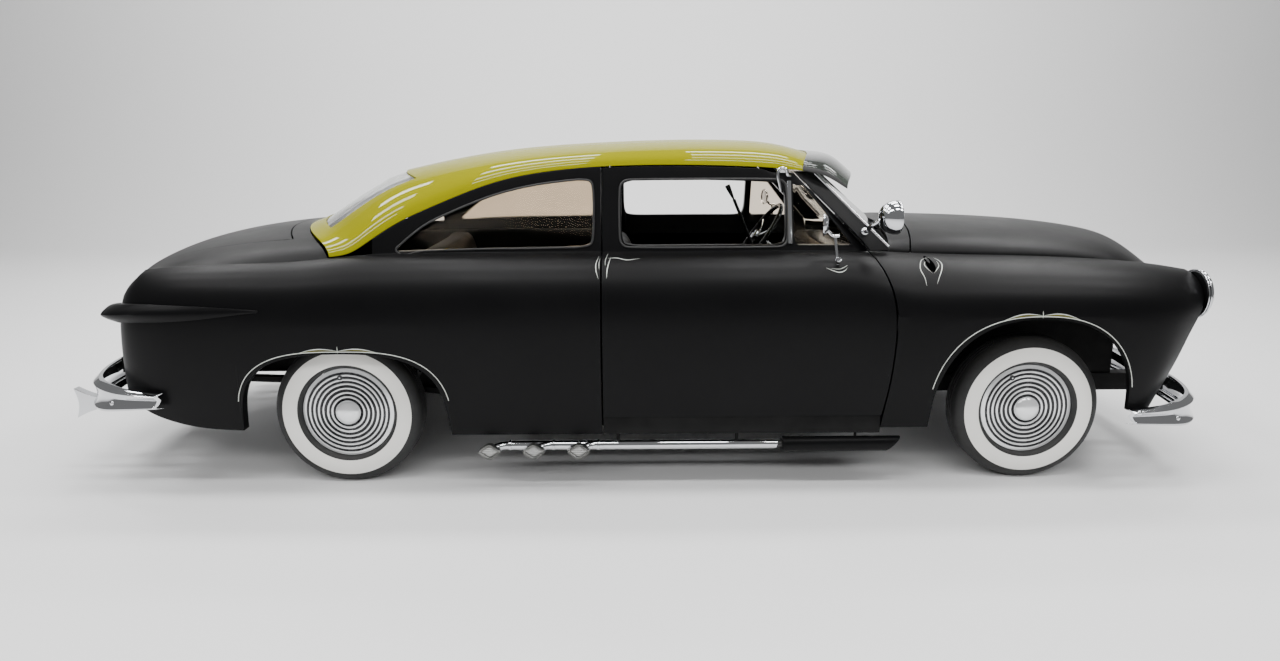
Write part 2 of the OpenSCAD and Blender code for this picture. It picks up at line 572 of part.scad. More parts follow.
// Outline of a rail round its kicks: x, z.
rail_line = [[rail_tail_x, rear_rail_z[0]], [-1000, rear_rail_z[0]], [-880, mid_rail_z[0]],
    [1150, mid_rail_z[0]], [1300, front_rail_z[0]], [rail_nose_x, front_rail_z[0]],
    [rail_nose_x, front_rail_z[1]], [1300, front_rail_z[1]], [1140, mid_rail_z[1]],
    [-850, mid_rail_z[1]], [-950, rear_rail_z[1]], [rail_tail_x, rear_rail_z[1]]];
module rail()
    translate([0, rail_y + rail_w / 2, 0])
    rotate([90, 0, 0])
    linear_extrude(rail_w)
    polygon(rail_line);
pad_x = [-700, 900];
pad_s = 90;
pad_z = 183;
tow_hole_r = 7;
tow_dx = 120;
tow_dz = 40;
tow_t = 15;
tow_z = (rear_rail_z[0] + rear_rail_z[1]) / 2;
cross_x = [-200, 500];
cross_w = 60;
axle_r = 38;
// Leaf springs: outer face, width, height at the axle, thickness; their rear and front hangers on the rails.
spring_y = 500;
spring_w = 45;
spring_z = hub_z + axle_r + seam;
spring_t = 24;
spring_front_z = 300;
spring_x = [rear_axle_x - 620, rear_axle_x + 420];
hanger_w = 40;
spring_hangers = [[spring_x[0], rear_rail_z[0], rear_rail_z[0] + 12],
    [spring_x[1] - hanger_w, mid_rail_z[1] - 20, spring_front_z - seam]];
module chassis_frame()
    color(dark) {
        both() rail();
        for (x = pad_x)
            both()
                box([x - pad_s / 2, rail_y - pad_s / 2, pad_z],
                    [x + pad_s / 2, rail_y + pad_s / 2, mid_rail_z[0]]);
        for (x = cross_x)
            box([x, -rail_y, mid_rail_z[0] + 5], [x + cross_w, rail_y, mid_rail_z[0] + 45]);
        for (h = spring_hangers)
            both() box([h[0], rail_y, h[1]], [h[0] + hanger_w, spring_y, h[2]]);
        difference() {
            box([rail_tail_x, -rail_y, rear_rail_z[0]], [rail_tail_x + tow_t, rail_y, rear_rail_z[1]]);
            for (y = [-1, 1])
                for (z = [-1, 1])
                    translate([rail_tail_x, y * tow_dx / 2, tow_z + z * tow_dz / 2])
                        rotate([0, 90, 0])
                        cylinder(r = tow_hole_r, h = 40, center = true, $fn = 48);
        }
    }

// Front suspension: cross member, arms and king pins.
kingpin_y = track / 2 - 132;
arm_t = 24;
arm_half_w = 32;
// Outer face of the rails, where the arms' uprights stand.
arm_y = rail_y + rail_w / 2 + 1;
upright_t = 34;
knuckle_h = 170;
beam_z = 240;
module front_suspension()
    color(dark) {
        box([front_axle_x - 60, -rail_y - 80, beam_z],
            [front_axle_x + 60, rail_y + 80, front_rail_z[0] - seam]);
        both() {
            translate([front_axle_x, kingpin_y, hub_z - knuckle_h / 2 - arm_t])
                cylinder(r = kingpin_r, h = knuckle_h + 2 * arm_t, $fn = 64);
            for (z = [hub_z - knuckle_h / 2 - arm_t, hub_z + knuckle_h / 2 + 1])
                box([front_axle_x - arm_half_w, arm_y, z],
                    [front_axle_x + arm_half_w, kingpin_y + 2 * kingpin_r, z + arm_t - 1]);
            box([front_axle_x - arm_half_w, arm_y, hub_z - knuckle_h / 2 - 1],
                [front_axle_x + arm_half_w, arm_y + upright_t, hub_z + knuckle_h / 2 + 2]);
        }
    }
hub_in_y = track / 2 - 77;
hub_len = 62;
spindle_end_y = hub_in_y + hub_len - 2;
// Upright barrel of a knuckle and the stub before its spindle.
knuckle_r = 27;
stub_r = 26;
module knuckle_left()
    color(dark)
    difference() {
        union() {
            translate([front_axle_x, kingpin_y, hub_z - knuckle_h / 2 + 2])
                cylinder(r = knuckle_r, h = knuckle_h - 4, $fn = 64);
            translate([front_axle_x, kingpin_y, hub_z])
                rotate([-90, 0, 0])
                cylinder(r = stub_r, h = hub_in_y - kingpin_y - 3, $fn = 64);
            translate([front_axle_x, kingpin_y, hub_z])
                rotate([-90, 0, 0])
                cylinder(r = spindle_r, h = spindle_end_y - kingpin_y, $fn = 64);
        }
        translate([front_axle_x, kingpin_y, 0])
            cylinder(r = kingpin_r + run_gap, h = 2 * hub_z, $fn = 64);
    }
module knuckle_right() mirror([0, 1, 0]) knuckle_left();

// Rear axle with its differential, propeller shaft and leaf springs.
diff_r = 125;
diff_w = 150;
prop_r = 36;
prop_end_x = 600;
// Outline of a leaf spring from its rear eye: x, z.
spring_line = [[spring_x[0], rear_rail_z[0] - seam - spring_t], [rear_axle_x - axle_r, spring_z],
    [rear_axle_x + axle_r, spring_z], [spring_x[1] - hanger_w, spring_front_z], [spring_x[1], spring_front_z],
    [spring_x[1], spring_front_z + 18], [rear_axle_x + axle_r, spring_z + spring_t + 4],
    [rear_axle_x - axle_r, spring_z + spring_t + 4], [spring_x[0], rear_rail_z[0] - seam]];
module rear_axle()
    color(dark) {
        translate([rear_axle_x, 0, hub_z])
            rotate([90, 0, 0]) {
                cylinder(r = spindle_r, h = 2 * spindle_end_y, center = true, $fn = 64);
                cylinder(r = axle_r, h = 2 * (hub_in_y - 3), center = true, $fn = 64);
                cylinder(r = diff_r, h = diff_w, center = true, $fn = 96);
            }
        translate([rear_axle_x, 0, hub_z])
            rotate([0, 90, 0])
            cylinder(r = prop_r, h = prop_end_x - rear_axle_x, $fn = 48);
        both()
            translate([0, spring_y, 0])
            rotate([90, 0, 0])
            linear_extrude(spring_w)
            polygon(spring_line);
    }

// Wheel: rim, disc, hub bore and rippled cover as one turned piece.
cover_r = 193;
cover_y = track / 2 + 55;
bullet_r = 54;
hub_r = 58;
disc_y = hub_in_y + 50;
disc_t = 12;
bullet_h = 24;
wheel_y = track / 2;
function cover_line(r) =
    r < bullet_r ? cover_y + 8 + bullet_h * sqrt(1 - pow(r / bullet_r, 2))
    : cover_y + 8 + ripple_h / 2 * (1 - cos(360 * ripple_count * (r - bullet_r) / (cover_r - bullet_r)))
        * (r < cover_r - 4 ? 1 : 0);
cover_steps = 56;
module wheel()
    color(chrome)
    rotate([90, 0, 0])
    rotate_extrude($fn = 96)
    mirror([0, 1])
    polygon(concat([[spindle_r + run_gap, hub_in_y], [hub_r, hub_in_y], [hub_r, disc_y], [rim_r - 14, disc_y],
            [rim_r - 14, wheel_y - tyre_w / 2 + 12], [rim_r, wheel_y - tyre_w / 2 + 12], [rim_r, cover_y - 6],
            [cover_r, cover_y]],
        [for (k = [cover_steps : -1 : 0]) let (r = cover_r * k / cover_steps) [r, cover_line(r)]],
        [[0, cover_y - 4], [rim_r - 22, cover_y - 8], [rim_r - 22, disc_y + disc_t],
            [spindle_r + run_gap, disc_y + disc_t]]));
// Half outline of a tyre from the bead over the sidewall to the tread: radius, distance from the middle.
tyre_line = [[rim_r + 0.4, tyre_w / 2 - 30], [rim_r + 10, tyre_w / 2 - 12], [rim_r + 40, tyre_w / 2],
    [tyre_r - 50, tyre_w / 2 - 2], [tyre_r - 20, tyre_w / 2 - 12], [tyre_r - 6, tyre_w / 2 - 28],
    [tyre_r, tyre_w / 2 - 52]];
module tyre()
    color(rubber)
    rotate([90, 0, 0])
    rotate_extrude($fn = 96)
    translate([0, -wheel_y])
    polygon(concat([for (q = tyre_line) [q[0], -q[1]]], back(tyre_line)));
module at_wheel(x, left)
    translate([x, 0, hub_z])
    mirror([0, left ? 0 : 1, 0])
    children();
module wheel_fl() at_wheel(front_axle_x, true) wheel();
module wheel_fr() at_wheel(front_axle_x, false) wheel();
module wheel_rl() at_wheel(rear_axle_x, true) wheel();
module wheel_rr() at_wheel(rear_axle_x, false) wheel();
module tyre_fl() at_wheel(front_axle_x, true) tyre();
module tyre_fr() at_wheel(front_axle_x, false) tyre();
module tyre_rl() at_wheel(rear_axle_x, true) tyre();
module tyre_rr() at_wheel(rear_axle_x, false) tyre();

// Engine mount bar, engine and gearbox: rear x, front x, half width, bottom, top.
engine_boxes = [
    [1560, 1640, rail_y - rail_w / 2 - 0.5, 330, 400],
    [1330, 2020, 190, front_rail_z[1] + 1, 860],
    [700, 1330, 140, 296, 430]];
module engine()
    color(dark)
    for (q = engine_boxes)
        box([q[0], -q[2], q[3]], [q[1], q[2], q[4]]);
tank_x = [-2080, -1560];
tank_w = 330;
tank_z = 380;
module fuel_tank()
    color(dark)
    box([tank_x[0], -tank_w, tank_z], [tank_x[1], tank_w, boot_z - seam]);
dash_w = 1190;
// Outline of the dashboard from the firewall back: x, z.
dash_line = [[0, 780], [0, 920], [-85, 945], [-205, 940], [-235, 900], [-215, 800]];
module dashboard()
    color(black)
    rotate([90, 0, 0])
    linear_extrude(dash_w, center = true)
    polygon([for (q = dash_line) [firewall_x - seam + q[0], q[1]]]);
wheel_c = [640, 380, 915];
column_tilt = 35;
steer_r = 210;
grip_r = 12;
module steer_place() translate(wheel_c) rotate([0, 90 + column_tilt, 0]) children();
// Hub of the steering wheel: radius, length, how much of it lies behind the rim.
steer_hub = [40, 35, 10];
column_r = 22;
column_from = steer_hub[1] - steer_hub[2] + seam;
// The column ends at the firewall.
column_to = (firewall_x - seam - wheel_c[0] - column_r * sin(column_tilt)) / cos(column_tilt);
module steering_column()
    color(dark)
    steer_place()
    translate([0, 0, column_from])
    cylinder(r = column_r, h = column_to - column_from, $fn = 48);
spoke_w = 24;
spoke_t = 10;
spoke_in = 30;
module steering_wheel()
    color(dark)
    steer_place() {
        rotate_extrude($fn = 96) translate([steer_r, 0]) circle(grip_r, $fn = 32);
        translate([0, 0, -steer_hub[2]]) cylinder(r = steer_hub[0], h = steer_hub[1], $fn = 64);
        for (a = [90, 210, 330])
            rotate([0, 0, a])
                translate([spoke_in, -spoke_w / 2, -spoke_t / 2])
                cube([steer_r - spoke_in, spoke_w, spoke_t]);
    }
seat_w = 1240;
squab_r = 40;
module squab(w, outline)
    rotate([90, 0, 0])
    linear_extrude(w, center = true)
    offset(squab_r, $fn = 32)
    offset(-squab_r)
    polygon(outline);
bench_z = tunnel_z + plate_t + seam;
boot_top = boot_z + floor_t;
// The rear backrest stands between the wheel houses.
rear_back_w = 2 * (boot_w - plate_t - 3);
// Outlines of the seat cushions and backrests: x, z.
front_cushion = [[60, bench_z], [580, bench_z], [600, 600], [60, 580]];
front_backrest = [[50, bench_z], [58, 600], [-80, 950], [-220, 950], [-100, bench_z]];
rear_cushion = [[-780, bench_z], [-330, bench_z], [-310, 590], [-780, 570]];
rear_backrest = [[-806, boot_top + seam], [-940, 950], [-1080, 950], [-960, boot_top + seam]];
module front_seat()
    color(hide) {
        squab(seat_w, front_cushion);
        squab(seat_w, front_backrest);
    }
module rear_seat()
    color(hide) {
        squab(seat_w, rear_cushion);
        squab(rear_back_w, rear_backrest);
    }

// Headlamps, flat against the fenders' front ends.
lamp_pos = [max([for (r = fender_r) fender_pt(fender_ref_x, r, 0)[0]]) + seam, body_half_w - 225, 795];
// Half outline of a lamp: radius, distance forward.
lamp_line = [[0, 0], [lamp_r - 12, 0], [lamp_r, 8], [lamp_r, 18], [lamp_r - 6, 26], [lamp_r - 16, 28],
    [lamp_r - 45, 36], [0, 40]];
module headlamps()
    color(chrome)
    both()
        translate(lamp_pos)
        rotate([0, 90, 0])
        rotate_extrude($fn = 96)
        polygon(lamp_line);
// Tail lamp pods on the rear quarters: x, lower edge, upper edge, bulge, overhang behind the tail.
spear_tab = [
    [-2190, 722, 786, 73, 30], [-2165, 720, 792, 58, 22], [-2120, 722, 799, 38, 10], [-2050, 727, 803, 27, 0],
    [-1950, 733, 804, 17, 0], [-1850, 738, 801, 9, 0], [-1750, 748, 797, 5, 0], [-1655, 760, 792, 3, 0],
    [-1597, 768, 788, 2.5, 0], [-1529, 774, 783, 2, 0]];
spear_x = [for (x = quarter_x) if (x < -1500) x];
function skin_y(x, z) =
    let (zs = curve(side_tab, S_ZS, x), w = curve(side_tab, S_W, x), yt = curve(side_tab, S_YT, x),
        zt = curve(side_tab, S_ZT, x))
    z <= zs ? w - curve(side_tab, S_TUCK, x) * pow((zs - z) / (zs - sill_z), 2)
        : yt + (w - yt) * sqrt(1 - pow((z - zs) / (zt - zs), 2));
function spear_pt(x, k, d) =
    let (z = mix(curve(spear_tab, 1, x), curve(spear_tab, 2, x), k), e = tail_share(x))
    [x + e * curve(tail_edge, 1, z) - d * curve(spear_tab, 4, x),
        skin_y(x, z) + 2 * seam + d * (0.3 + sin(180 * k)) * curve(spear_tab, 3, x), z];
module tail_lamps()
    color(black)
    both()
        sheet([for (x = spear_x) [for (k = row(0, 1, 6)) spear_pt(x, k, 1)]],
            [for (x = spear_x) [for (k = row(0, 1, 6)) spear_pt(x, k, 0)]]);
// Sun visor over the windscreen.
visor_t = 5;
visor_s = 9.85;
visor_up = visor_t + 2 * seam;
visor_tab = [
    [0, curve(roof_tab, C_XS, visor_s), curve(roof_tab, C_YS, visor_s) + 3,
        curve(roof_tab, C_ZS, visor_s) + visor_up, curve(roof_tab, C_XC, visor_s),
        curve(roof_tab, C_ZC, visor_s) + visor_up, 0],
    [1, 772, 640, 1296, 895, roof_z - 65, 0],
    [2, 872, 625, 1240, 985, roof_z - 137, 0]];
module sun_visor()
    color(pane)
    crowned(visor_tab, row(0, 2, 6), roof_v, roof_power, 0, visor_t);
// Round bar between two points.
module rod(a, b, r) {
    d = b - a;
    translate(a)
        rotate([0, acos(d[2] / norm(d)), atan2(d[1], d[0])])
        cylinder(r = r, h = norm(d), $fn = 32);
}
spot_pos = [1000, body_half_w - 75, 1140];
spot_foot = [965, 702.5, 1030];
spot_stem_r = 9;
// Half outline of a spotlight: radius, distance forward.
spot_line = [[0, -70], [30, -62], [58, -30], [68, 10], [70, 20], [70, 40], [62, 44], [0, 52]];
module spotlights()
    color(chrome)
    both() {
        translate(spot_pos)
            rotate([0, 90, 0])
            rotate_extrude($fn = 64)
            polygon(spot_line);
        rod(spot_foot, spot_pos + [0, 0, -40], spot_stem_r);
    }
mirror_x = 767;
mirror_z = 1120;
mirror_r = 50;
mirror_t = 16;
// Turn of the mirror's face towards the driver.
mirror_turn = 13;
mirror_base_r = 22;
mirror_base_t = 8;
mirror_stem_r = 7;
// Place on the shoulder curve, in degrees from its widest point, and the skin's slope there.
mirror_a = 65;
mirror_run = curve(side_tab, S_W, mirror_x) - curve(side_tab, S_YT, mirror_x);
mirror_rise = curve(side_tab, S_ZT, mirror_x) - curve(side_tab, S_ZS, mirror_x);
mirror_foot = [mirror_x, curve(side_tab, S_YT, mirror_x) + mirror_run * cos(mirror_a),
    curve(side_tab, S_ZS, mirror_x) + mirror_rise * sin(mirror_a)];
mirror_tilt = atan2(cos(mirror_a) / mirror_run, sin(mirror_a) / mirror_rise);
module mirror_left()
    color(chrome) {
        translate(mirror_foot)
            rotate([-mirror_tilt, 0, 0])
            translate([0, 0, seam])
            cylinder(r = mirror_base_r, h = mirror_base_t, $fn = 48);
        rod(mirror_foot + [0, 3, 5], [mirror_x, mirror_foot[1], mirror_z - 20], mirror_stem_r);
        translate([mirror_x, mirror_foot[1], mirror_z])
            rotate([0, 90, mirror_turn])
            cylinder(r = mirror_r, h = mirror_t, center = true, $fn = 64);
    }
module mirror_right() mirror([0, 1, 0]) mirror_left();

// Side pipes: a long tube with three capped outlets under each sill.
pipe_y = body_half_w - 75;
pipe_x = [-560, 570, 1090];
cap_x = [-633, -450, -263];
cap_w = 108;
cap_h = 76;
cap_t = 12;
cap_round = 12;
cap_out = 62;
sleeve_r = 32;
hanger_x = [-100, 400, 900];
module side_pipes()
    color(chrome)
    both() {
        rod([pipe_x[0], pipe_y, pipe_z], [pipe_x[1], pipe_y, pipe_z], pipe_r);
        rod([pipe_x[1], pipe_y, pipe_z], [pipe_x[2], pipe_y, pipe_z], sleeve_r);
        for (x = hanger_x)
            box([x - 15, pipe_y - 6, pipe_z], [x + 15, pipe_y + 6, sill_z - seam]);
        for (x = cap_x) {
            rod([x + 75, pipe_y, pipe_z], [x, pipe_y + cap_out - cap_t / 2, pipe_z - 6], pipe_r - 2);
            translate([x, pipe_y + cap_out, pipe_z - 6])
                rotate([90, 0, 0])
                linear_extrude(cap_t)
                offset(cap_round, $fn = 24)
                scale([cap_w / 2 - cap_round, cap_h / 2 - cap_round])
                circle(1, $fn = 4);
        }
    }
// Exhaust: pipes under the floor with flared, notched fishtail tips behind the bumper.
tip_y = 600;
tip_len = 110;
tip_w = 40;
tip_half_h = 67;
tip_notch = 22;
tail_pipe_x = -2000;
tail_pipe_r = 24;
tail_pipe_z = 310;
// Half outline of a fishtail from the pipe to the tip: distance back, half height.
fishtail = [[0, tail_pipe_r], [50, tail_pipe_r + 12], [tip_len, tip_half_h], [tip_len - tip_notch, 0]];
module exhaust()
    color(chrome)
    both() {
        translate([tail_pipe_x, tip_y, tail_pipe_z])
            rotate([0, -90, 0])
            cylinder(r = tail_pipe_r, h = tail_pipe_x - tail_tip_x - tip_len, $fn = 48);
        box([tail_pipe_x - 60, tip_y - 25, tail_pipe_z], [tail_pipe_x - 40, tip_y - 5, boot_z - seam]);
        translate([tail_tip_x + tip_len, tip_y + tip_w / 2, tail_pipe_z])
            rotate([90, 0, 0])
            linear_extrude(tip_w)
            polygon(concat([for (q = fishtail) [-q[0], q[1]]], [for (k = [2 : -1 : 0]) -fishtail[k]]));
    }

roof_panel();
quarter_left();
quarter_right();
deck_surround();
cowl();
windscreen_frame();
fender_left();
fender_right();
front_panel();
floor_pan();
door_left();
door_right();
hood();
deck_lid();
fixed_glass();
vent_left();
vent_right();
chassis_frame();
front_suspension();
knuckle_left();
knuckle_right();
rear_axle();
wheel_fl();
wheel_fr();
wheel_rl();
wheel_rr();
tyre_fl();
tyre_fr();
tyre_rl();
tyre_rr();
engine();
fuel_tank();
dashboard();
steering_column();
steering_wheel();
front_seat();
rear_seat();
front_bumper();
rear_bumper();
headlamps();
tail_lamps();
sun_visor();
spotlights();
mirror_left();
mirror_right();
side_pipes();
exhaust();
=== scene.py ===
# %% [markdown]
# A low two-door custom sedan in satin black with a lime-gold roof. The solids come from
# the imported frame; this lesson gives them their looks. Every piece stays in the frame's own
# metres, +X forward, +Y to the car's left, +Z up.

# %% Load the frame
import math
from contextlib import contextmanager

import bpy
from mathutils import Matrix, Vector


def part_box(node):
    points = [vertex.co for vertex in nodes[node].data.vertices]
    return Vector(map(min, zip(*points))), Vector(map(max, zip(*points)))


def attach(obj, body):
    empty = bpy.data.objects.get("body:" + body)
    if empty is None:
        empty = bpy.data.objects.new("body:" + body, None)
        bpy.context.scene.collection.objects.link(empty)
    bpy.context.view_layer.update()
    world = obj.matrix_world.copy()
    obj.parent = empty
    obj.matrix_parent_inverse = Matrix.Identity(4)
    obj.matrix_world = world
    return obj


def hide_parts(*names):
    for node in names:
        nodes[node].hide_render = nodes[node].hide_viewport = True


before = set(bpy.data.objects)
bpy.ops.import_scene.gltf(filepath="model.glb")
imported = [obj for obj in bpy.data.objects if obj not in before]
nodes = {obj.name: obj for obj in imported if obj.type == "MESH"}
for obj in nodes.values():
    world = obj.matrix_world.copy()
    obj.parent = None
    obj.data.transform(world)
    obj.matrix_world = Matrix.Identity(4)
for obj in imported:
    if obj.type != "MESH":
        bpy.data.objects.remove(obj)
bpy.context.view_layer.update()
bpy.ops.object.select_all(action="DESELECT")

# %% [markdown]
# Finishes first. A material here is a small node tree: a Principled shader whose colour,
# roughness and bump vary over the surface. Two effects are shared by several finishes, so
# they are node groups: fine dust that settles on upward faces, and a broken-up gloss.

# %% Shared shader groups


def new_group(name, inputs, outputs):
    """An empty shader group with float or colour sockets: {name: (type, default)}."""
    group = bpy.data.node_groups.new(name, "ShaderNodeTree")
    for label, (kind, default) in inputs.items():
        socket = group.interface.new_socket(label, in_out="INPUT", socket_type=kind)
        socket.default_value = default
    for label, kind in outputs.items():
        group.interface.new_socket(label, in_out="OUTPUT", socket_type=kind)
    return group, group.nodes.new("NodeGroupInput"), group.nodes.new("NodeGroupOutput")


def add_node(tree, kind, **values):
    """A node with its sockets and properties set by name."""
    node = tree.nodes.new(kind)
    for key, value in values.items():
        if key in node.inputs:
            node.inputs[key].default_value = value
        else:
            setattr(node, key, value)
    return node


def make_gloss_group():
    """Roughness that wanders between two values after one broad noise, which is also given out as a mask."""
    group, start, end = new_group(
        "Broken gloss",
        {"Scale": ("NodeSocketFloat", 6.0), "Low": ("NodeSocketFloat", 0.2), "High": ("NodeSocketFloat", 0.4)},
        {"Roughness": "NodeSocketFloat", "Mask": "NodeSocketFloat"},
    )
    place = add_node(group, "ShaderNodeTexCoord")
    broad = add_node(group, "ShaderNodeTexNoise", Detail=4.0, Roughness=0.6)
    span = add_node(group, "ShaderNodeMapRange", **{"From Min": 0.3, "From Max": 0.7})
    group.links.new(place.outputs["Object"], broad.inputs["Vector"])
    group.links.new(start.outputs["Scale"], broad.inputs["Scale"])
    group.links.new(broad.outputs["Fac"], span.inputs["Value"])
    group.links.new(start.outputs["Low"], span.inputs["To Min"])
    group.links.new(start.outputs["High"], span.inputs["To Max"])
    group.links.new(span.outputs["Result"], end.inputs["Roughness"])
    group.links.new(broad.outputs["Fac"], end.inputs["Mask"])
    return group


def make_dust_group():
    """Mixes a dust colour into a base colour on faces that look up."""
    group, start, end = new_group(
        "Settled dust",
        {
            "Base": ("NodeSocketColor", (0.1, 0.1, 0.1, 1)),
            "Dust": ("NodeSocketColor", (0.35, 0.33, 0.3, 1)),
            "Amount": ("NodeSocketFloat", 0.05),
        },
        {"Color": "NodeSocketColor"},
    )
    place = add_node(group, "ShaderNodeTexCoord")
    speck = add_node(group, "ShaderNodeTexNoise", Scale=90.0, Detail=3.0)
    normal = add_node(group, "ShaderNodeNewGeometry")
    split = add_node(group, "ShaderNodeSeparateXYZ")
    upward = add_node(group, "ShaderNodeMapRange", **{"From Min": 0.2, "From Max": 1.0})
    specked = add_node(group, "ShaderNodeMath", operation="MULTIPLY")
    amount = add_node(group, "ShaderNodeMath", operation="MULTIPLY")
    mix = add_node(group, "ShaderNodeMix", data_type="RGBA")
    group.links.new(place.outputs["Object"], speck.inputs["Vector"])
    group.links.new(normal.outputs["Normal"], split.inputs["Vector"])
    group.links.new(split.outputs["Z"], upward.inputs["Value"])
    group.links.new(upward.outputs["Result"], specked.inputs[0])
    group.links.new(speck.outputs["Fac"], specked.inputs[1])
    group.links.new(specked.outputs["Value"], amount.inputs[0])
    group.links.new(start.outputs["Amount"], amount.inputs[1])
    group.links.new(amount.outputs["Value"], mix.inputs["Factor"])
    group.links.new(start.outputs["Base"], mix.inputs[6])
    group.links.new(start.outputs["Dust"], mix.inputs[7])
    group.links.new(mix.outputs[2], end.inputs["Color"])
    return group


BROKEN_GLOSS = make_gloss_group()
SETTLED_DUST = make_dust_group()
print("groups", BROKEN_GLOSS.name, SETTLED_DUST.name)

# %% [markdown]
# Every finish on the car is built by one recipe: a Principled shader, the shared gloss group on
# its roughness, the dust group on its colour, and a bump from fine noise. What is the same all
# over, such as a clear coat, is set straight on the shader's sockets.

# %% Finishes


def finish(name, colour, low, high, scale=6.0, dust=0.0, grain=None, tone=0.12, **sockets):
    """A procedural finish; grain is (noise scale, bump height in metres), tone the colour drift."""
    material = bpy.data.materials.new(name)
    material.use_nodes = True
    tree = material.node_tree
    shader = tree.nodes["Principled BSDF"]
    for label, value in sockets.items():
        shader.inputs[label.replace("_", " ")].default_value = value
    place = add_node(tree, "ShaderNodeTexCoord")
    drift = add_node(tree, "ShaderNodeTexNoise", Scale=scale * 0.7, Detail=5.0)
    tree.links.new(place.outputs["Object"], drift.inputs["Vector"])
    shade = add_node(tree, "ShaderNodeMix", data_type="RGBA")
    shade.inputs[6].default_value = [c * (1 - tone) for c in colour] + [1]
    shade.inputs[7].default_value = [min(1, c * (1 + tone)) for c in colour] + [1]
    tree.links.new(drift.outputs["Fac"], shade.inputs["Factor"])
    coated = add_node(tree, "ShaderNodeGroup", node_tree=SETTLED_DUST)
    coated.inputs["Amount"].default_value = dust
    tree.links.new(shade.outputs[2], coated.inputs["Base"])
    tree.links.new(coated.outputs["Color"], shader.inputs["Base Color"])
    gloss = add_node(tree, "ShaderNodeGroup", node_tree=BROKEN_GLOSS)
    gloss.inputs["Scale"].default_value = scale
    gloss.inputs["Low"].default_value = low
    gloss.inputs["High"].default_value = high
    tree.links.new(gloss.outputs["Roughness"], shader.inputs["Roughness"])
    if grain:
        fine = add_node(tree, "ShaderNodeTexNoise", Scale=grain[0], Detail=3.0)
        bump = add_node(tree, "ShaderNodeBump", Strength=1.0, Distance=grain[1])
        tree.links.new(place.outputs["Object"], fine.inputs["Vector"])
        tree.links.new(fine.outputs["Fac"], bump.inputs["Height"])
        tree.links.new(bump.outputs["Normal"], shader.inputs["Normal"])
    return material


SATIN_BLACK = finish("Satin black paint", (0.0022, 0.0022, 0.0025), 0.36, 0.44, 3.0, 0.008, (220, 0.00006),
                     Specular_IOR_Level=0.12)
LIME_GOLD = finish("Lime gold metallic", (0.205, 0.196, 0.0), 0.38, 0.46, 2.0, 0.0, None, 0.06,
                   Metallic=0.0, Specular_IOR_Level=0.0, Coat_Weight=0.42, Coat_Roughness=0.01)
CHROME = finish("Chrome", (0.66, 0.67, 0.69), 0.03, 0.08, 9.0, 0.0, None, 0.02, Metallic=1.0)
# Painted highlight: the wheel covers are a light, half-metallic chrome, so their ridges look bright whatever they
# reflect.
RIDGE_CHROME_AND_HIGHLIGHT = finish("Ridge chrome with painted highlight", (0.88, 0.89, 0.90), 0.14, 0.22, 9.0, 0.0, None, 0.02, Metallic=0.6)
# Painted shade: the grooves of the wheel covers and the valve holes are dark, standing for shade and for the reflection
# of a dark floor.
PAINTED_GROOVE_SHADE = finish("Painted shade in grooves", (0.03, 0.03, 0.032), 0.2, 0.35, 20.0, 0.0, None, 0.1, Metallic=0.5)
RUBBER = finish("Tyre rubber", (0.018, 0.018, 0.018), 0.55, 0.75, 14.0, 0.06, (160, 0.0002))
WHITEWALL = finish("Whitewall rubber", (0.80, 0.79, 0.75), 0.45, 0.6, 18.0, 0.04, (120, 0.0001), 0.03)
SEAL = finish("Window seal", (0.015, 0.015, 0.015), 0.4, 0.6, 30.0, 0.02, (300, 0.0001))
UNDER_BLACK = finish("Chassis black", (0.006, 0.006, 0.006), 0.5, 0.75, 12.0, 0.02, (80, 0.0003), Specular_IOR_Level=0.15)
CAST_GREY = finish("Engine grey", (0.12, 0.12, 0.125), 0.45, 0.7, 16.0, 0.08, (60, 0.0008))
LEATHER = finish("Dark upholstery", (0.02, 0.018, 0.017), 0.42, 0.6, 8.0, 0.03, (420, 0.0003))
CABIN_BLACK = finish("Cabin gloss black", (0.014, 0.014, 0.015), 0.15, 0.3, 7.0, 0.02)
STRIPE = finish("Pinstripe silver", (0.62, 0.65, 0.60), 0.3, 0.5, 40.0, 0.0, None, 0.15, Metallic=0.2)
OLIVE = finish("Pinstripe olive", (0.16, 0.15, 0.01), 0.3, 0.5, 40.0, 0.0, None, 0.2, Metallic=0.3)
DEEP_BLACK = finish("Deep black enamel", (0.0008, 0.0008, 0.0008), 0.5, 0.6, 40.0, 0.0, None, 0.1, Specular_IOR_Level=0.0)
RED_LENS = finish("Red lens", (0.35, 0.006, 0.008), 0.05, 0.12, 20.0, 0.0, (150, 0.0004), 0.1, Coat_Weight=1.0)
LAMP_LENS = finish("Headlamp lens", (0.75, 0.77, 0.78), 0.04, 0.12, 30.0, 0.0, (60, 0.0012), 0.05, Coat_Weight=1.0)


def glass_finish(name, colour, clear, rough=0.02, bend=1.3):
    """Tinted glass: a smooth shader that lets light through, a little uneven in gloss."""
    material = finish(name, colour, rough, rough + 0.03, 12.0, 0.0, None, 0.05)
    shader = material.node_tree.nodes["Principled BSDF"]
    shader.inputs["Transmission Weight"].default_value = clear
    shader.inputs["IOR"].default_value = bend
    return material


CLEAR_GLASS = glass_finish("Clear screen glass", (0.93, 0.95, 0.94), 1.0, 0.0)
BROWN_GLASS = glass_finish("Brown tinted glass", (0.70, 0.61, 0.50), 1.0, 0.0, 1.12)
VISOR_SMOKE = glass_finish("Smoky visor", (0.07, 0.08, 0.07), 0.75, 0.08)
print("finishes", len(bpy.data.materials))

# %% [markdown]
# The body is pressed sheet, so its panels have to read as one flowing skin with crisp shut lines.
# Each CAD panel is a coarse closed sheet. A copy is welded, turned into quads, given a narrow
# bevel on its sharp edges and subdivided: the bevel keeps the shut lines where they are while the
# broad faces become smooth.

# %% Panels from the CAD sheets


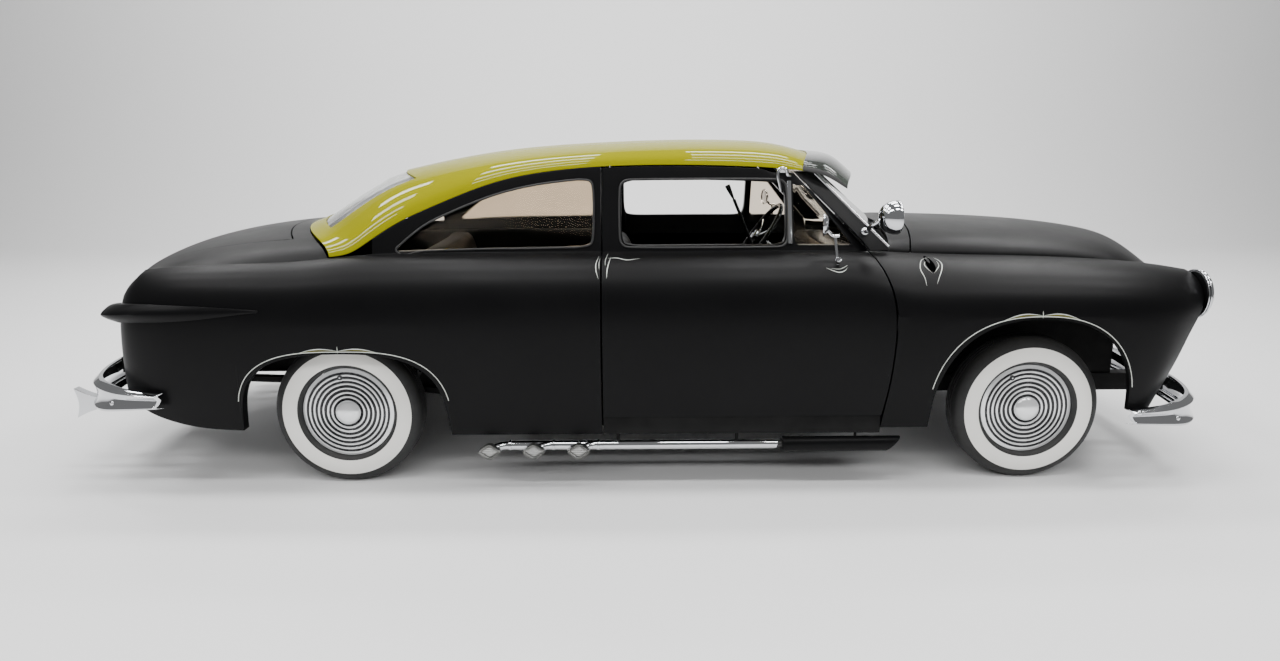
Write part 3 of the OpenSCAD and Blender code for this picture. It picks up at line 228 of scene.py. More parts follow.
def settle(obj, material, body, *replaced):
    """Puts a finish on a made piece, lets it ride on a body and stand for CAD nodes."""
    if material:
        obj.data.materials.clear()
        obj.data.materials.append(material)
    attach(obj, body)
    if replaced:
        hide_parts(*replaced)
    return obj


def activate(obj):
    bpy.ops.object.select_all(action="DESELECT")
    obj.select_set(True)
    bpy.context.view_layer.objects.active = obj


@contextmanager
def editing(obj, pick="VERT"):
    """Edit mode on one object with all of it selected, and object mode again afterwards."""
    activate(obj)
    bpy.ops.object.mode_set(mode="EDIT")
    bpy.ops.mesh.select_mode(type=pick)
    bpy.ops.mesh.select_all(action="SELECT")
    yield
    bpy.ops.object.mode_set(mode="OBJECT")


def apply_modifiers(obj):
    activate(obj)
    for modifier in list(obj.modifiers):
        bpy.ops.object.modifier_apply(modifier=modifier.name)


def welded_copy(node, name):
    """A copy of a CAD node as quads, with its loose triangles joined."""
    obj = bpy.data.objects.new(name, nodes[node].data.copy())
    bpy.context.scene.collection.objects.link(obj)
    with editing(obj):
        bpy.ops.mesh.remove_doubles(threshold=0.00002)
        bpy.ops.mesh.tris_convert_to_quads(face_threshold=math.radians(50), shape_threshold=math.radians(70))
    return obj


def pressed_panel(node, name, material, body, edge=0.0025, levels=2):
    """A CAD sheet as a smooth pressed panel with rounded shut lines."""
    obj = welded_copy(node, name)
    bevel = obj.modifiers.new("edge", "BEVEL")
    bevel.width = edge
    bevel.segments = 2
    bevel.limit_method = "ANGLE"
    bevel.angle_limit = math.radians(38)
    smooth = obj.modifiers.new("smooth", "SUBSURF")
    smooth.levels = smooth.render_levels = levels
    apply_modifiers(obj)
    bpy.ops.object.shade_smooth()
    return settle(obj, material, body, node)


def ray_to_skin(panel, x, z, side):
    """Whether and where a level ray from beside the car meets a panel."""
    return panel.ray_cast(Vector((x, side * RAY_START, z)), Vector((0, -side, 0)))[:2]


def on_skin(panel, x, z, side):
    """The place where a level ray from the side meets a panel."""
    hit, place = ray_to_skin(panel, x, z, side)
    if not hit:
        raise ValueError(f"no skin of {panel.name} at x {x:.3f}, z {z:.3f}")
    return place


RAY_START = 2.0
BODY_PANELS = {
    "quarter_left": "shell", "quarter_right": "shell", "deck_surround": "shell", "cowl": "shell",
    "windscreen_frame": "shell", "fender_left": "shell", "fender_right": "shell",
    "door_left": "door_left", "door_right": "door_right", "hood": "hood", "deck_lid": "deck_lid",
}
for node, body in BODY_PANELS.items():
    panel = pressed_panel(node, "skin_" + node, SATIN_BLACK, body)
    print(panel.name, len(panel.data.polygons))
roof = pressed_panel("roof_panel", "skin_roof", LIME_GOLD, "shell")
print(roof.name, len(roof.data.polygons))

# %% [markdown]
# A wheel cover is a pressed dish: ridges round a bullet centre, with grooves between them. The
# ridges are a light, half-metallic chrome whose brightness is partly painted highlight, and the grooves
# are dark with painted shade, which also stands for the reflection of a dark floor. A turned part like
# this is quickest as a lathe: extrude one vertex along the profile, then spin the line round the axle.
# The tyre is a second lathe. Grooves and white band are faces picked by their radius, so their edges
# are true rings of the mesh.

# %% Lathe


def placed(name):
    """Names the primitive that was just added, and applies its place and turn."""
    obj = bpy.context.object
    obj.name = name
    bpy.ops.object.transform_apply(location=True, rotation=True, scale=True)
    return obj


def lathe(name, profile, centre, axis, steps=64, sharp=40):
    """Turns a profile of (radius, distance along the axis) points about an axis through centre."""
    places = [Vector(centre) + Vector((0, 0, 1)) * r + Vector(axis) * a for r, a in profile]
    bpy.ops.object.select_all(action="DESELECT")
    bpy.ops.mesh.primitive_plane_add(size=0.001, location=places[0])
    obj = placed(name)
    with editing(obj):
        bpy.ops.mesh.merge(type="CENTER")
        for here, there in zip(places, places[1:]):
            bpy.ops.mesh.extrude_region_move(TRANSFORM_OT_translate={"value": there - here})
        bpy.ops.mesh.select_all(action="SELECT")
        bpy.ops.mesh.spin(steps=steps, angle=math.tau, center=centre, axis=axis)
        bpy.ops.mesh.select_all(action="SELECT")
        bpy.ops.mesh.remove_doubles(threshold=0.00005)
        bpy.ops.mesh.normals_make_consistent(inside=False)
    bpy.ops.object.shade_smooth_by_angle(angle=math.radians(sharp))
    if not obj.data.polygons:
        raise ValueError(f"{name} was turned without faces")
    return obj


def flowing(points, steps=4):
    """A profile drawn as a smooth line through its points."""
    line = [Vector(p) for p in points]
    line = [line[0] * 2 - line[1]] + line + [line[-1] * 2 - line[-2]]
    out = []
    for a, b, c, d in zip(line, line[1:], line[2:], line[3:]):
        for k in range(steps):
            u = k / steps
            out.append(tuple(0.5 * (b * 2 + (c - a) * u + (a * 2 - b * 5 + c * 4 - d) * u ** 2
                                    + (b * 3 - a - c * 3 + d) * u ** 3)))
    return out + [tuple(line[-2])]


def joined(name, parts):
    """Several objects as one piece; each keeps its finish."""
    bpy.ops.object.select_all(action="DESELECT")
    for part in parts:
        part.select_set(True)
    bpy.context.view_layer.objects.active = parts[0]
    bpy.ops.object.join()
    obj = bpy.context.object
    obj.name = name
    return obj


def painted(obj, material):
    obj.data.materials.clear()
    obj.data.materials.append(material)
    return obj


# %% Wheels and tyres
WHEELS = {
    "fl": ("front_left_wheel", 1), "fr": ("front_right_wheel", -1),
    "rl": ("rear_left_wheel", 1), "rr": ("rear_right_wheel", -1),
}
RIDGES, FIRST_RIDGE, RIDGE_PITCH, GROOVE_DEPTH = 7, 0.068, 0.019, 0.0055
BULLET_R, BULLET_HEIGHT, COVER_R, RIM_R = 0.053, 0.024, 0.1925, 0.194
VALVE_AT, VALVE_TURN = 0.155, {"f": math.radians(28), "r": math.radians(9)}
WHITE_INNER, WHITE_OUTER = 0.211, 0.272


def groove(r):
    """How deep the ripples are at a radius: 0 on a ridge and 1 at the bottom of a groove."""
    return 0.5 - 0.5 * math.cos(math.tau * (r - FIRST_RIDGE) / RIDGE_PITCH)


def cover_profile(face, back):
    """From the bullet's tip out over the ripples to the rolled lip, then round the rim to the hub."""
    line = []
    for k in range(9):
        angle = math.pi / 2 * k / 8
        line.append((BULLET_R * math.sin(angle), face + BULLET_HEIGHT * math.cos(angle)))
    steps = RIDGES * 10
    for k in range(steps + 1):
        r = FIRST_RIDGE + RIDGE_PITCH * ((RIDGES - 0.75) * k / steps - 0.5)
        line.append((r, face - GROOVE_DEPTH * groove(r)))
    return line + [(COVER_R, face - 0.007), (COVER_R, face - 0.012), (RIM_R - 0.02, face - 0.02),
                   (RIM_R - 0.02, back + 0.004), (RIM_R, back), (RIM_R - 0.014, back), (RIM_R - 0.03, face - 0.06),
                   (0.06, face - 0.06), (0.06, face - 0.09), (0.017, face - 0.09)]


def add_valve(face, hub, side, turn):
    """The hole for the valve near the cover's edge, as a dish in painted shade with the stem's tip in it."""
    at = Vector(hub) + Vector((-math.sin(turn) * VALVE_AT, side * face, math.cos(turn) * VALVE_AT))
    dish = lathe("dish", [(0.0, 0.0006), (0.0095, 0.0006), (0.0115, 0.001), (0.012, -0.003)], at, (0, side, 0), 24)
    stem = lathe("stem", [(0.0, 0.005), (0.003, 0.0045), (0.0035, 0.0)], at, (0, side, 0), 16)
    return [painted(dish, PAINTED_GROOVE_SHADE), painted(stem, CHROME)]


def tyre_profile(radius, middle, width):
    """A closed tyre section: bead, bulging wall, grooved tread and the far wall."""
    half = width / 2
    wall = flowing([(RIM_R + 0.0005, 0.64), (RIM_R + 0.006, 0.83), (WHITE_INNER, 0.945), (0.240, 1.0),
                    (WHITE_OUTER, 0.955), (radius - 0.020, 0.845), (radius - 0.006, 0.66), (radius, 0.40)])
    tread = []
    for cut in (0.27, 0.0, -0.27):
        for step, depth in ((0.05, 0.0), (0.035, 0.005), (-0.035, 0.005), (-0.05, 0.0)):
            tread.append((radius - depth, cut + step))
    near = [(r, middle + half * a) for r, a in wall]
    far = [(r, middle - half * a) for r, a in reversed(wall)]
    return near + [(r, middle + half * a) for r, a in tread] + far + [near[0]]


for corner, (body, side) in WHEELS.items():
    low, high = (Vector(c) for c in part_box("tyre_" + corner))
    hub = ((low.x + high.x) / 2, 0, (low.z + high.z) / 2)
    middle, width, radius = (low.y + high.y) / 2 * side, high.y - low.y, (high.z - low.z) / 2
    dish = [abs(c[1]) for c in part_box("wheel_" + corner)]
    face = max(dish) - BULLET_HEIGHT
    cover = painted(lathe("cover", cover_profile(face, middle - width / 2 + 0.012), hub, (0, side, 0), 96), RIDGE_CHROME_AND_HIGHLIGHT)
    # The faces deep in the grooves take the painted shade.
    cover.data.materials.append(PAINTED_GROOVE_SHADE)
    for patch in cover.data.polygons:
        out = math.hypot(patch.center.x - hub[0], patch.center.z - hub[2])
        if BULLET_R < out < COVER_R - 0.004 and patch.center.y * side > face - 0.01 and groove(out) > 0.4:
            patch.material_index = 1
    cover = joined("cover_" + corner, [cover] + add_valve(face, hub, side, VALVE_TURN[corner[0]]))
    settle(cover, None, body, "wheel_" + corner)
    tyre = lathe("tread_" + corner, tyre_profile(radius, middle, width), hub, (0, side, 0), 96)
    settle(tyre, RUBBER, body, "tyre_" + corner)
    tyre.data.materials.append(WHITEWALL)
    for patch in tyre.data.polygons:
        out = math.hypot(patch.center.x - hub[0], patch.center.z - hub[2])
        if WHITE_INNER < out < WHITE_OUTER and patch.center.y * side > middle:
            patch.material_index = 1
    print(cover.name, len(cover.data.polygons), tyre.name, len(tyre.data.polygons))

# %% [markdown]
# The bright parts. Bumpers and fishtails are pressed from sheet, so they take the same bevel and
# subdivision as the body panels, and so do the tail spears, whose rear ends are red lenses. Lamps
# are lathes again: a bezel ring, a dark bowl and a domed lens, each with its own finish.

# %% Bumpers, fishtails and tail spears
for node in ("front_bumper", "rear_bumper", "exhaust"):
    bright = pressed_panel(node, "bright_" + node, CHROME, "shell")
    print(bright.name, len(bright.data.polygons))
spears = pressed_panel("tail_lamps", "tail_spears", SATIN_BLACK, "shell")
spears.data.materials.append(RED_LENS)
LENS_DEPTH = 0.03
lens_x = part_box("tail_lamps")[0][0] + LENS_DEPTH
for patch in spears.data.polygons:
    if patch.center.x < lens_x and patch.normal.x < -0.6:
        patch.material_index = 1

# %% Lamps
low, high = (Vector(c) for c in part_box("headlamps"))
lamp_r = (high.z - low.z) / 2
for side, word in ((1, "left"), (-1, "right")):
    seat = (low.x, side * (high.y - lamp_r), low.z + lamp_r)
    collar = lathe("collar", flowing([(0.094, 0.0), (lamp_r, 0.001), (lamp_r, 0.006), (0.095, 0.008)], 3), seat,
                   (1, 0, 0), 72)
    bowl = lathe("bowl", [(0.0, 0.002), (0.093, 0.002), (0.098, 0.007), (0.098, 0.014), (0.09, 0.017), (0.0, 0.017)], seat,
                 (1, 0, 0), 72)
    ring = lathe("ring", flowing([(0.088, 0.014), (lamp_r - 0.004, 0.012), (lamp_r - 0.001, 0.017), (lamp_r - 0.006, 0.025),
                                  (0.094, 0.028), (0.086, 0.024)], 3), seat, (1, 0, 0), 72)
    lens_disc = lathe("lens", flowing([(0.090, 0.021), (0.075, 0.030), (0.05, 0.036), (0.02, 0.0392), (0.0, 0.0396)], 3),
                      seat, (1, 0, 0), 72)
    for part, material in ((collar, CHROME), (bowl, SATIN_BLACK), (ring, CHROME), (lens_disc, LAMP_LENS)):
        painted(part, material)
    lamp = settle(joined("headlamp_" + word, [collar, bowl, ring, lens_disc]), None, "shell", "headlamps")
    print(lamp.name, [round(c, 3) for c in seat])

# %% [markdown]
# A spotlight has a shallow fluted back on a bent arm. After the lathe, every third vertex outside
# the middle is selected and scaled towards the lamp's axis, which presses the flutes.

# %% Spotlights


def bent_tube(name, points, radius, smooth=True, round_steps=5, along=12, taper=False, closed=False, sharp=40):
    """A round bar along a line of points, made as a curve and turned into a mesh.

    A tapered one thins out at both ends like a brush stroke.
    """
    data = bpy.data.curves.new(name, "CURVE")
    data.dimensions = "3D"
    data.bevel_depth, data.bevel_resolution, data.resolution_u = radius, round_steps, along
    data.use_fill_caps = True
    spline = data.splines.new("BEZIER" if smooth else "POLY")
    spline.use_cyclic_u = closed
    knots = spline.bezier_points if smooth else spline.points
    knots.add(len(points) - 1)
    for k, (knot, place) in enumerate(zip(knots, points)):
        if smooth:
            knot.co = place
            knot.handle_left_type = knot.handle_right_type = "AUTO"
        else:
            knot.co = (*place, 1)
        if taper:
            knot.radius = max(0.15, math.sin(math.pi * (k + 0.4) / (len(points) - 0.2)))
    obj = bpy.data.objects.new(name, data)
    bpy.context.scene.collection.objects.link(obj)
    activate(obj)
    bpy.ops.object.convert(target="MESH")
    bpy.ops.object.shade_smooth_by_angle(angle=math.radians(sharp))
    return bpy.context.object


def press_flutes(obj, centre, inner, pitch, depth):
    """Draws in every third vertex of the rings that lie outside a radius round an X axis."""
    for v in obj.data.vertices:
        arm = math.hypot(v.co.y - centre[1], v.co.z - centre[2])
        turn = math.atan2(v.co.z - centre[2], v.co.y - centre[1]) / pitch
        v.select = arm > inner and round(turn) % 3 == 0
    activate(obj)
    bpy.ops.object.mode_set(mode="EDIT")
    bpy.ops.mesh.select_mode(type="VERT")
    bpy.ops.transform.resize(value=(1, depth, depth), center_override=centre)
    bpy.ops.object.mode_set(mode="OBJECT")


SPOT_AT, SPOT_FOOT = Vector((1.0, 0.85, 1.137)), Vector((0.935, 0.694, 1.062))
SPOT_STEPS = 72
for side, word in ((1, "left"), (-1, "right")):
    flip = Vector((1, side, 1))
    head_at, foot_at = SPOT_AT * flip, SPOT_FOOT * flip
    shell = lathe("shell", flowing([(0.0, -0.052), (0.020, -0.050), (0.043, -0.041), (0.060, -0.026), (0.070, -0.006)], 3)
                  + [(0.0725, 0.002), (0.0735, 0.008), (0.0735, 0.024), (0.070, 0.030), (0.064, 0.030)], head_at, (1, 0, 0),
                  SPOT_STEPS)
    press_flutes(shell, head_at, 0.040, math.tau / SPOT_STEPS, 0.93)
    face = lathe("face", flowing([(0.066, 0.025), (0.048, 0.036), (0.02, 0.042), (0.0, 0.043)], 3), head_at, (1, 0, 0), 48)
    bend = [foot_at, foot_at + Vector((0.004, 0.045 * side, 0.012)),
            head_at + Vector((-0.075, -0.030 * side, -0.040)), head_at + Vector((-0.048, 0.006 * side, -0.012))]
    arm = bent_tube("arm", bend, 0.009)
    ferrule = lathe("ferrule", flowing([(0.0, 0.0), (0.017, 0.001), (0.016, 0.008), (0.010, 0.013), (0.0, 0.013)], 3),
                    foot_at, (0, side, 0), 32)
    for part, material in ((shell, CHROME), (face, LAMP_LENS), (arm, CHROME), (ferrule, CHROME)):
        painted(part, material)
    spot = settle(joined("spotlight_" + word, [shell, face, arm, ferrule]), None, "shell", "spotlights")
    print(spot.name, len(spot.data.polygons))

# %% [markdown]
# The door mirrors are small discs on slim stems, one on each door's shoulder, so they ride on the
# doors. The foot stands where a ray meets the door's skin. The left one is built and mirrored; a
# mirrored mesh is inside out until its faces are flipped.

# %% Door mirrors


def mirrored(obj, name):
    """A copy on the other side of the car, with its own mesh and its faces turned right way out."""
    twin = bpy.data.objects.new(name, obj.data.copy())
    bpy.context.scene.collection.objects.link(twin)
    with editing(twin):
        bpy.ops.transform.resize(value=(1, -1, 1), center_override=(0, 0, 0))
        bpy.ops.mesh.flip_normals()
    return twin


low, high = (Vector(c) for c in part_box("mirror_left"))
MIRROR_R, MIRROR_TURN, SHOULDER_TILT = 0.046, math.radians(13), math.radians(27)
head_at = Vector((0.742, (low.y + high.y) / 2, 1.104))
facing = (-math.cos(MIRROR_TURN), -math.sin(MIRROR_TURN), 0)
foot_at = on_skin(bpy.data.objects["skin_door_left"], 0.796, 0.945, 1)
stem_top = foot_at + Vector((-0.012, -0.018, 0.112))
shell = lathe("shell", flowing([(0.0, -0.016), (0.02, -0.0145), (0.035, -0.009), (MIRROR_R - 0.002, 0.0)], 3)
              + [(MIRROR_R, 0.002), (MIRROR_R, 0.006), (MIRROR_R - 0.003, 0.0075), (MIRROR_R - 0.004, 0.004)],
              head_at, facing, 64)
face = lathe("face", [(MIRROR_R - 0.004, 0.003), (0.035, 0.0042), (0.0, 0.0045)], head_at, facing, 64)
stem = bent_tube("stem", [foot_at, stem_top], 0.006, False)
bracket = bent_tube("bracket", [stem_top + Vector((0.016, 0, 0.002)), stem_top + Vector((-0.010, 0, 0.004)),
                                head_at + Vector((0.012, 0, -0.022))], 0.007)
foot = lathe("foot", flowing([(0.0, 0.014), (0.009, 0.013), (0.013, 0.007), (0.028, 0.003), (0.029, -0.004),
                              (0.0, -0.004)], 3), foot_at, (0, math.sin(SHOULDER_TILT), math.cos(SHOULDER_TILT)), 40)
parts = [painted(part, CHROME) for part in (shell, face, stem, bracket, foot)]
left_mirror = joined("door_mirror_left", parts)
right_mirror = mirrored(left_mirror, "door_mirror_right")
settle(left_mirror, None, "door_left", "mirror_left")
settle(right_mirror, None, "door_right", "mirror_right")
print("door mirrors at", [round(c, 3) for c in head_at])

# %% [markdown]
# Under each sill runs a side pipe: a bright tube with three elbows that end in ribbed caps, and a
# thicker black section in front of it whose end is cut at a slant. The slant is a bisect with the
# cut filled; the ribs of a cap are strips cut by bisects, of which every second one is extruded.

# %% Side pipes
PIPE_Y, PIPE_Z, PIPE_R, SLEEVE_R = 0.85, 0.186, 0.020, 0.032
PIPE_X, CAP_X, CAP_SIZE, CAP_T = (-0.56, 0.575, 1.09), (-0.633, -0.450, -0.263), (0.054, 0.038), 0.008


def round_edges(obj, width, segments=2, angle=35):
    """A narrow bevel on the sharp edges, applied."""
    bevel = obj.modifiers.new("edge", "BEVEL")
    bevel.width, bevel.segments = width, segments
    bevel.limit_method, bevel.angle_limit = "ANGLE", math.radians(angle)
    apply_modifiers(obj)
    bpy.ops.object.shade_smooth_by_angle(angle=math.radians(angle))
    return obj


def end_cut_tube(name, x0, x1, radius, slant):
    """A tube along X whose front end is cut at a slant."""
    bpy.ops.object.select_all(action="DESELECT")
    bpy.ops.mesh.primitive_cylinder_add(vertices=40, radius=radius, depth=x1 - x0,
                                        location=((x0 + x1) / 2, PIPE_Y, PIPE_Z), rotation=(0, math.pi / 2, 0))
    obj = placed(name)
    with editing(obj):
        bpy.ops.mesh.bisect(plane_co=(x1 - radius * slant, PIPE_Y, PIPE_Z), plane_no=(1, 0, -slant), use_fill=True,
                            clear_outer=True)
    return round_edges(obj, 0.002)


def select_faces(obj, test):
    """Selects the faces that pass a test of their middle and normal."""
    for part in (obj.data.vertices, obj.data.edges):
        part.foreach_set("select", [False] * len(part))
    for patch in obj.data.polygons:
        patch.select = test(patch.center, patch.normal)


RIBBED_GREY = finish("Ribbed cap grey", (0.42, 0.42, 0.41), 0.28, 0.4, 30.0, 0.02, None, 0.06, Metallic=1.0)


def ribbed_cap(name, at, ribs=9):
    """A flat cap with a rounded diamond outline and pressed level ribs."""
    bpy.ops.object.select_all(action="DESELECT")
    bpy.ops.mesh.primitive_cylinder_add(vertices=4, radius=1, depth=CAP_T, location=at, rotation=(math.pi / 2, 0, 0))
    obj = placed(name)
    with editing(obj):
        bpy.ops.transform.resize(value=(CAP_SIZE[0], 1, CAP_SIZE[1]), center_override=at)
    for edge in obj.data.edges:
        a, b = (obj.data.vertices[v].co for v in edge.vertices)
        edge.select = abs(a.y - b.y) > CAP_T / 2
    bpy.ops.object.mode_set(mode="EDIT")
    bpy.ops.mesh.select_mode(type="EDGE")
    bpy.ops.mesh.bevel(offset=0.018, segments=5, affect="EDGES")
    pitch = 2 * CAP_SIZE[1] / (2 * ribs + 1)
    for k in range(-ribs, ribs + 1):
        bpy.ops.mesh.select_all(action="SELECT")
        bpy.ops.mesh.bisect(plane_co=(at[0], at[1], at[2] + (k - 0.5) * pitch), plane_no=(0, 0, 1))
    bpy.ops.mesh.select_mode(type="FACE")
    bpy.ops.object.mode_set(mode="OBJECT")
    select_faces(obj, lambda c, n: n.y > 0.9 and round((c.z - at[2]) / pitch) % 2 == 0)
    bpy.ops.object.mode_set(mode="EDIT")
    bpy.ops.mesh.extrude_region_shrink_fatten(TRANSFORM_OT_shrink_fatten={"value": 0.0022})
    bpy.ops.object.mode_set(mode="OBJECT")
    return painted(obj, RIBBED_GREY)


parts = [painted(end_cut_tube("pipe", PIPE_X[0], PIPE_X[1], PIPE_R, 0.3), CHROME),
         painted(end_cut_tube("sleeve", PIPE_X[1] + 0.016, PIPE_X[2], SLEEVE_R, 1.0), SATIN_BLACK),
         painted(bent_tube("core", [(PIPE_X[1] + step, PIPE_Y, PIPE_Z) for step in (-0.03, 0.05)], 0.014, False), SEAL)]
for x in CAP_X:
    run = [(x + 0.09, PIPE_Y, PIPE_Z), (x + 0.05, PIPE_Y + 0.008, PIPE_Z), (x + 0.012, PIPE_Y + 0.034, PIPE_Z - 0.004),
           (x, PIPE_Y + 0.053, PIPE_Z - 0.006)]
    parts.append(painted(bent_tube("elbow", run, PIPE_R - 0.003), CHROME))
    collar = lathe("collar", flowing([(0.016, 0.0), (0.0225, 0.001), (0.0225, 0.009), (0.016, 0.010)], 3),
                   (x + 0.075, PIPE_Y, PIPE_Z), (1, 0, 0), 32)
    parts.append(painted(collar, CHROME))
    parts.append(ribbed_cap("cap", (x, PIPE_Y + 0.056, PIPE_Z - 0.006)))
strap_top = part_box("side_pipes")[1][2] - 0.002
for x in (-0.1, 0.4, 0.9):
    strap = bent_tube("strap", [(x, PIPE_Y, PIPE_Z + 0.01), (x, PIPE_Y - 0.004, strap_top)], 0.006, False)
    parts.append(painted(strap, UNDER_BLACK))
left_pipes = joined("side_pipe_left", parts)
right_pipes = mirrored(left_pipes, "side_pipe_right")
settle(left_pipes, None, "shell", "side_pipes")
settle(right_pipes, None, "shell", "side_pipes")
print("side pipes", len(left_pipes.data.polygons))

# %% [markdown]
# The windscreen, the rear window and the quarter panes are one CAD node. In a welded copy the
# faces of the quarter panes take the brown tint, and the rest stay clear. The vent panes have the
# tint too and ride on the doors. The visor is a smoky sheet with dark edges, picked by the way
# their faces look.

# %% Glass and visor
panes = welded_copy("fixed_glass", "window_panes")
bpy.ops.object.shade_smooth_by_angle(angle=math.radians(30))
settle(panes, CLEAR_GLASS, "shell", "fixed_glass")
panes.data.materials.append(BROWN_GLASS)
for patch in panes.data.polygons:
    if -1.05 < patch.center.x < 0 and abs(patch.center.y) > 0.52:
        patch.material_index = 1
for side in ("left", "right"):
    vent = welded_copy("vent_" + side, "vent_pane_" + side)
    bpy.ops.object.shade_smooth_by_angle(angle=math.radians(30))
    settle(vent, BROWN_GLASS, "door_" + side, "vent_" + side)
visor = pressed_panel("sun_visor", "visor_sheet", VISOR_SMOKE, "shell", 0.0012)
visor.data.materials.append(SEAL)
for patch in visor.data.polygons:
    if abs(patch.normal.y) > 0.8 or patch.normal.x > 0.75:
        patch.material_index = 1
print("panes", len(panes.data.polygons), "visor", len(visor.data.polygons))

# %% [markdown]
# The cabin is dark and only half seen, but it shows through the windows. The bench cushions are
# padded: each starts as a slightly shrunken copy of its solid, is remeshed evenly, and Blender's
# cloth blows it up with a little pressure, held to a few centimetres.

# %% Bench cushions


def puffed(obj, limit):
    """Fills a cushion by cloth pressure and holds every point within a limit of its start."""
    before = [v.co.copy() for v in obj.data.vertices]
    cloth = obj.modifiers.new("fill", "CLOTH")
    cloth.settings.use_pressure = True
    cloth.settings.uniform_pressure_force = 4
    cloth.settings.effector_weights.gravity = 0
    for number in range(1, 21):
        bpy.context.scene.frame_set(number)
    apply_modifiers(obj)
    for v, start in zip(obj.data.vertices, before):
        step = v.co - start
        if step.length > limit:
            v.co = start + step.normalized() * limit
    bpy.context.scene.frame_set(1)


def bench(node):
    """The cushions of one bench, from the loose solids of its node."""
    with editing(welded_copy(node, node + "_cushion")):
        bpy.ops.mesh.separate(type="LOOSE")
    cushions = list(bpy.context.selected_objects)
    for number, cushion in enumerate(cushions):
        cushion.name = f"{node}_cushion_{number}"
        middle = sum((v.co for v in cushion.data.vertices), Vector()) / len(cushion.data.vertices)
        with editing(cushion):
            bpy.ops.transform.resize(value=(0.94, 0.98, 0.94), center_override=middle)
        even = cushion.modifiers.new("even", "REMESH")
        even.mode = "VOXEL"
        even.voxel_size = 0.012
        apply_modifiers(cushion)
        puffed(cushion, 0.012)
        smooth = cushion.modifiers.new("smooth", "SUBSURF")
        smooth.levels = smooth.render_levels = 1
        apply_modifiers(cushion)
        bpy.ops.object.shade_smooth()
        settle(cushion, LEATHER, "shell", node)
        print(cushion.name, len(cushion.data.polygons))


bench("front_seat")
bench("rear_seat")

# %% [markdown]
# The steering wheel: a torus for the rim, three bright spokes and a turned hub. They share the column's
# slanted axis: the rim is added with that turn and then has it applied, and the spokes and the hub are
# laid out along the axis.

# %% Steering wheel and lever
STEER_AT, STEER_TILT, STEER_R = Vector((0.64, 0.38, 0.915)), math.radians(35), 0.21
steer_axis = Vector((-math.cos(STEER_TILT), 0, math.sin(STEER_TILT)))
bpy.ops.object.select_all(action="DESELECT")
bpy.ops.mesh.primitive_torus_add(major_radius=STEER_R, minor_radius=0.012, major_segments=72, minor_segments=16,
                                 location=STEER_AT, rotation=steer_axis.to_track_quat("Z", "Y").to_euler())
rim = placed("rim")
bpy.ops.object.shade_smooth()
parts = [painted(rim, CABIN_BLACK)]
across = Vector((0, 1, 0))
upward = steer_axis.cross(across)
for turn in (90, 210, 330):
    arm = (across * math.cos(math.radians(turn)) + upward * math.sin(math.radians(turn)))
    spoke = [STEER_AT + arm * 0.03 + steer_axis * 0.004, STEER_AT + arm * 0.11 - steer_axis * 0.006, STEER_AT + arm * 0.205]
    parts.append(painted(bent_tube("spoke", spoke, 0.007), CHROME))
hub = lathe("hub", flowing([(0.0, 0.022), (0.022, 0.019), (0.038, 0.008), (0.040, -0.006), (0.034, -0.024),
                            (0.0, -0.025)], 3), STEER_AT, steer_axis, 48)
parts.append(painted(hub, CHROME))
settle(joined("steering_rim", parts), None, "steering_wheel", "steering_wheel")
lever = bent_tube("lever", [(0.70, 0.05, 0.452), (0.64, 0.05, 0.72), (0.54, 0.05, 0.985), (0.472, 0.05, 1.145)], 0.008)
knob = lathe("knob", flowing([(0.0, 0.034), (0.024, 0.030), (0.029, 0.018), (0.022, -0.006), (0.011, -0.032),
                              (0.0, -0.034)], 3), (0.460, 0.05, 1.168), Vector((-0.44, 0, 0.90)).normalized(), 32)
settle(joined("gear_lever", [painted(lever, CABIN_BLACK), painted(knob, CABIN_BLACK)]), None, "shell")
print("steering wheel and lever made")

# %% [markdown]
# What is under the skin keeps its CAD shape and gets a finish: chassis and floor in dull black with
# dust, the engine block in cast grey, the dash in gloss black. A CAD node takes a material through
# its slots, and its mesh stays as it is.

# %% Finishes of the carried-over solids


def dress(node, material):
    """Puts a finish on a CAD node without touching its mesh."""
    obj = nodes[node]
    for slot in obj.material_slots:
        slot.material = material
    print(node, "->", material.name)


for node in ("floor_pan", "chassis_frame", "front_suspension", "knuckle_left", "knuckle_right", "rear_axle", "fuel_tank"):
    dress(node, UNDER_BLACK)
dress("engine", CAST_GREY)
dress("steering_column", CABIN_BLACK)
dash = pressed_panel("dashboard", "dash_panel", CABIN_BLACK, "shell", 0.012, 1)
grille = pressed_panel("front_panel", "grille_panel", CHROME, "shell", 0.003)
print("dash and grille", len(dash.data.polygons), len(grille.data.polygons))

# %% [markdown]
# Trim lies on the body, so each line is given only by its places along and up the car. A ray cast
# across the car finds the skin there, and a thin bar is drawn through the hits, half sunk in the
# paint. Window beads, pinstripes and the bolts of the bumpers all use this. The black oval in the
# fender's ornament is a disc that is shrink-wrapped onto the skin.

# %% Pinstripes


def drawn_line(name, places, radius, taper=False, closed=False):
    """A thin bar with few faces through places on the body."""
    return bent_tube(name, places, radius, True, 2, 4, taper, closed, 50)


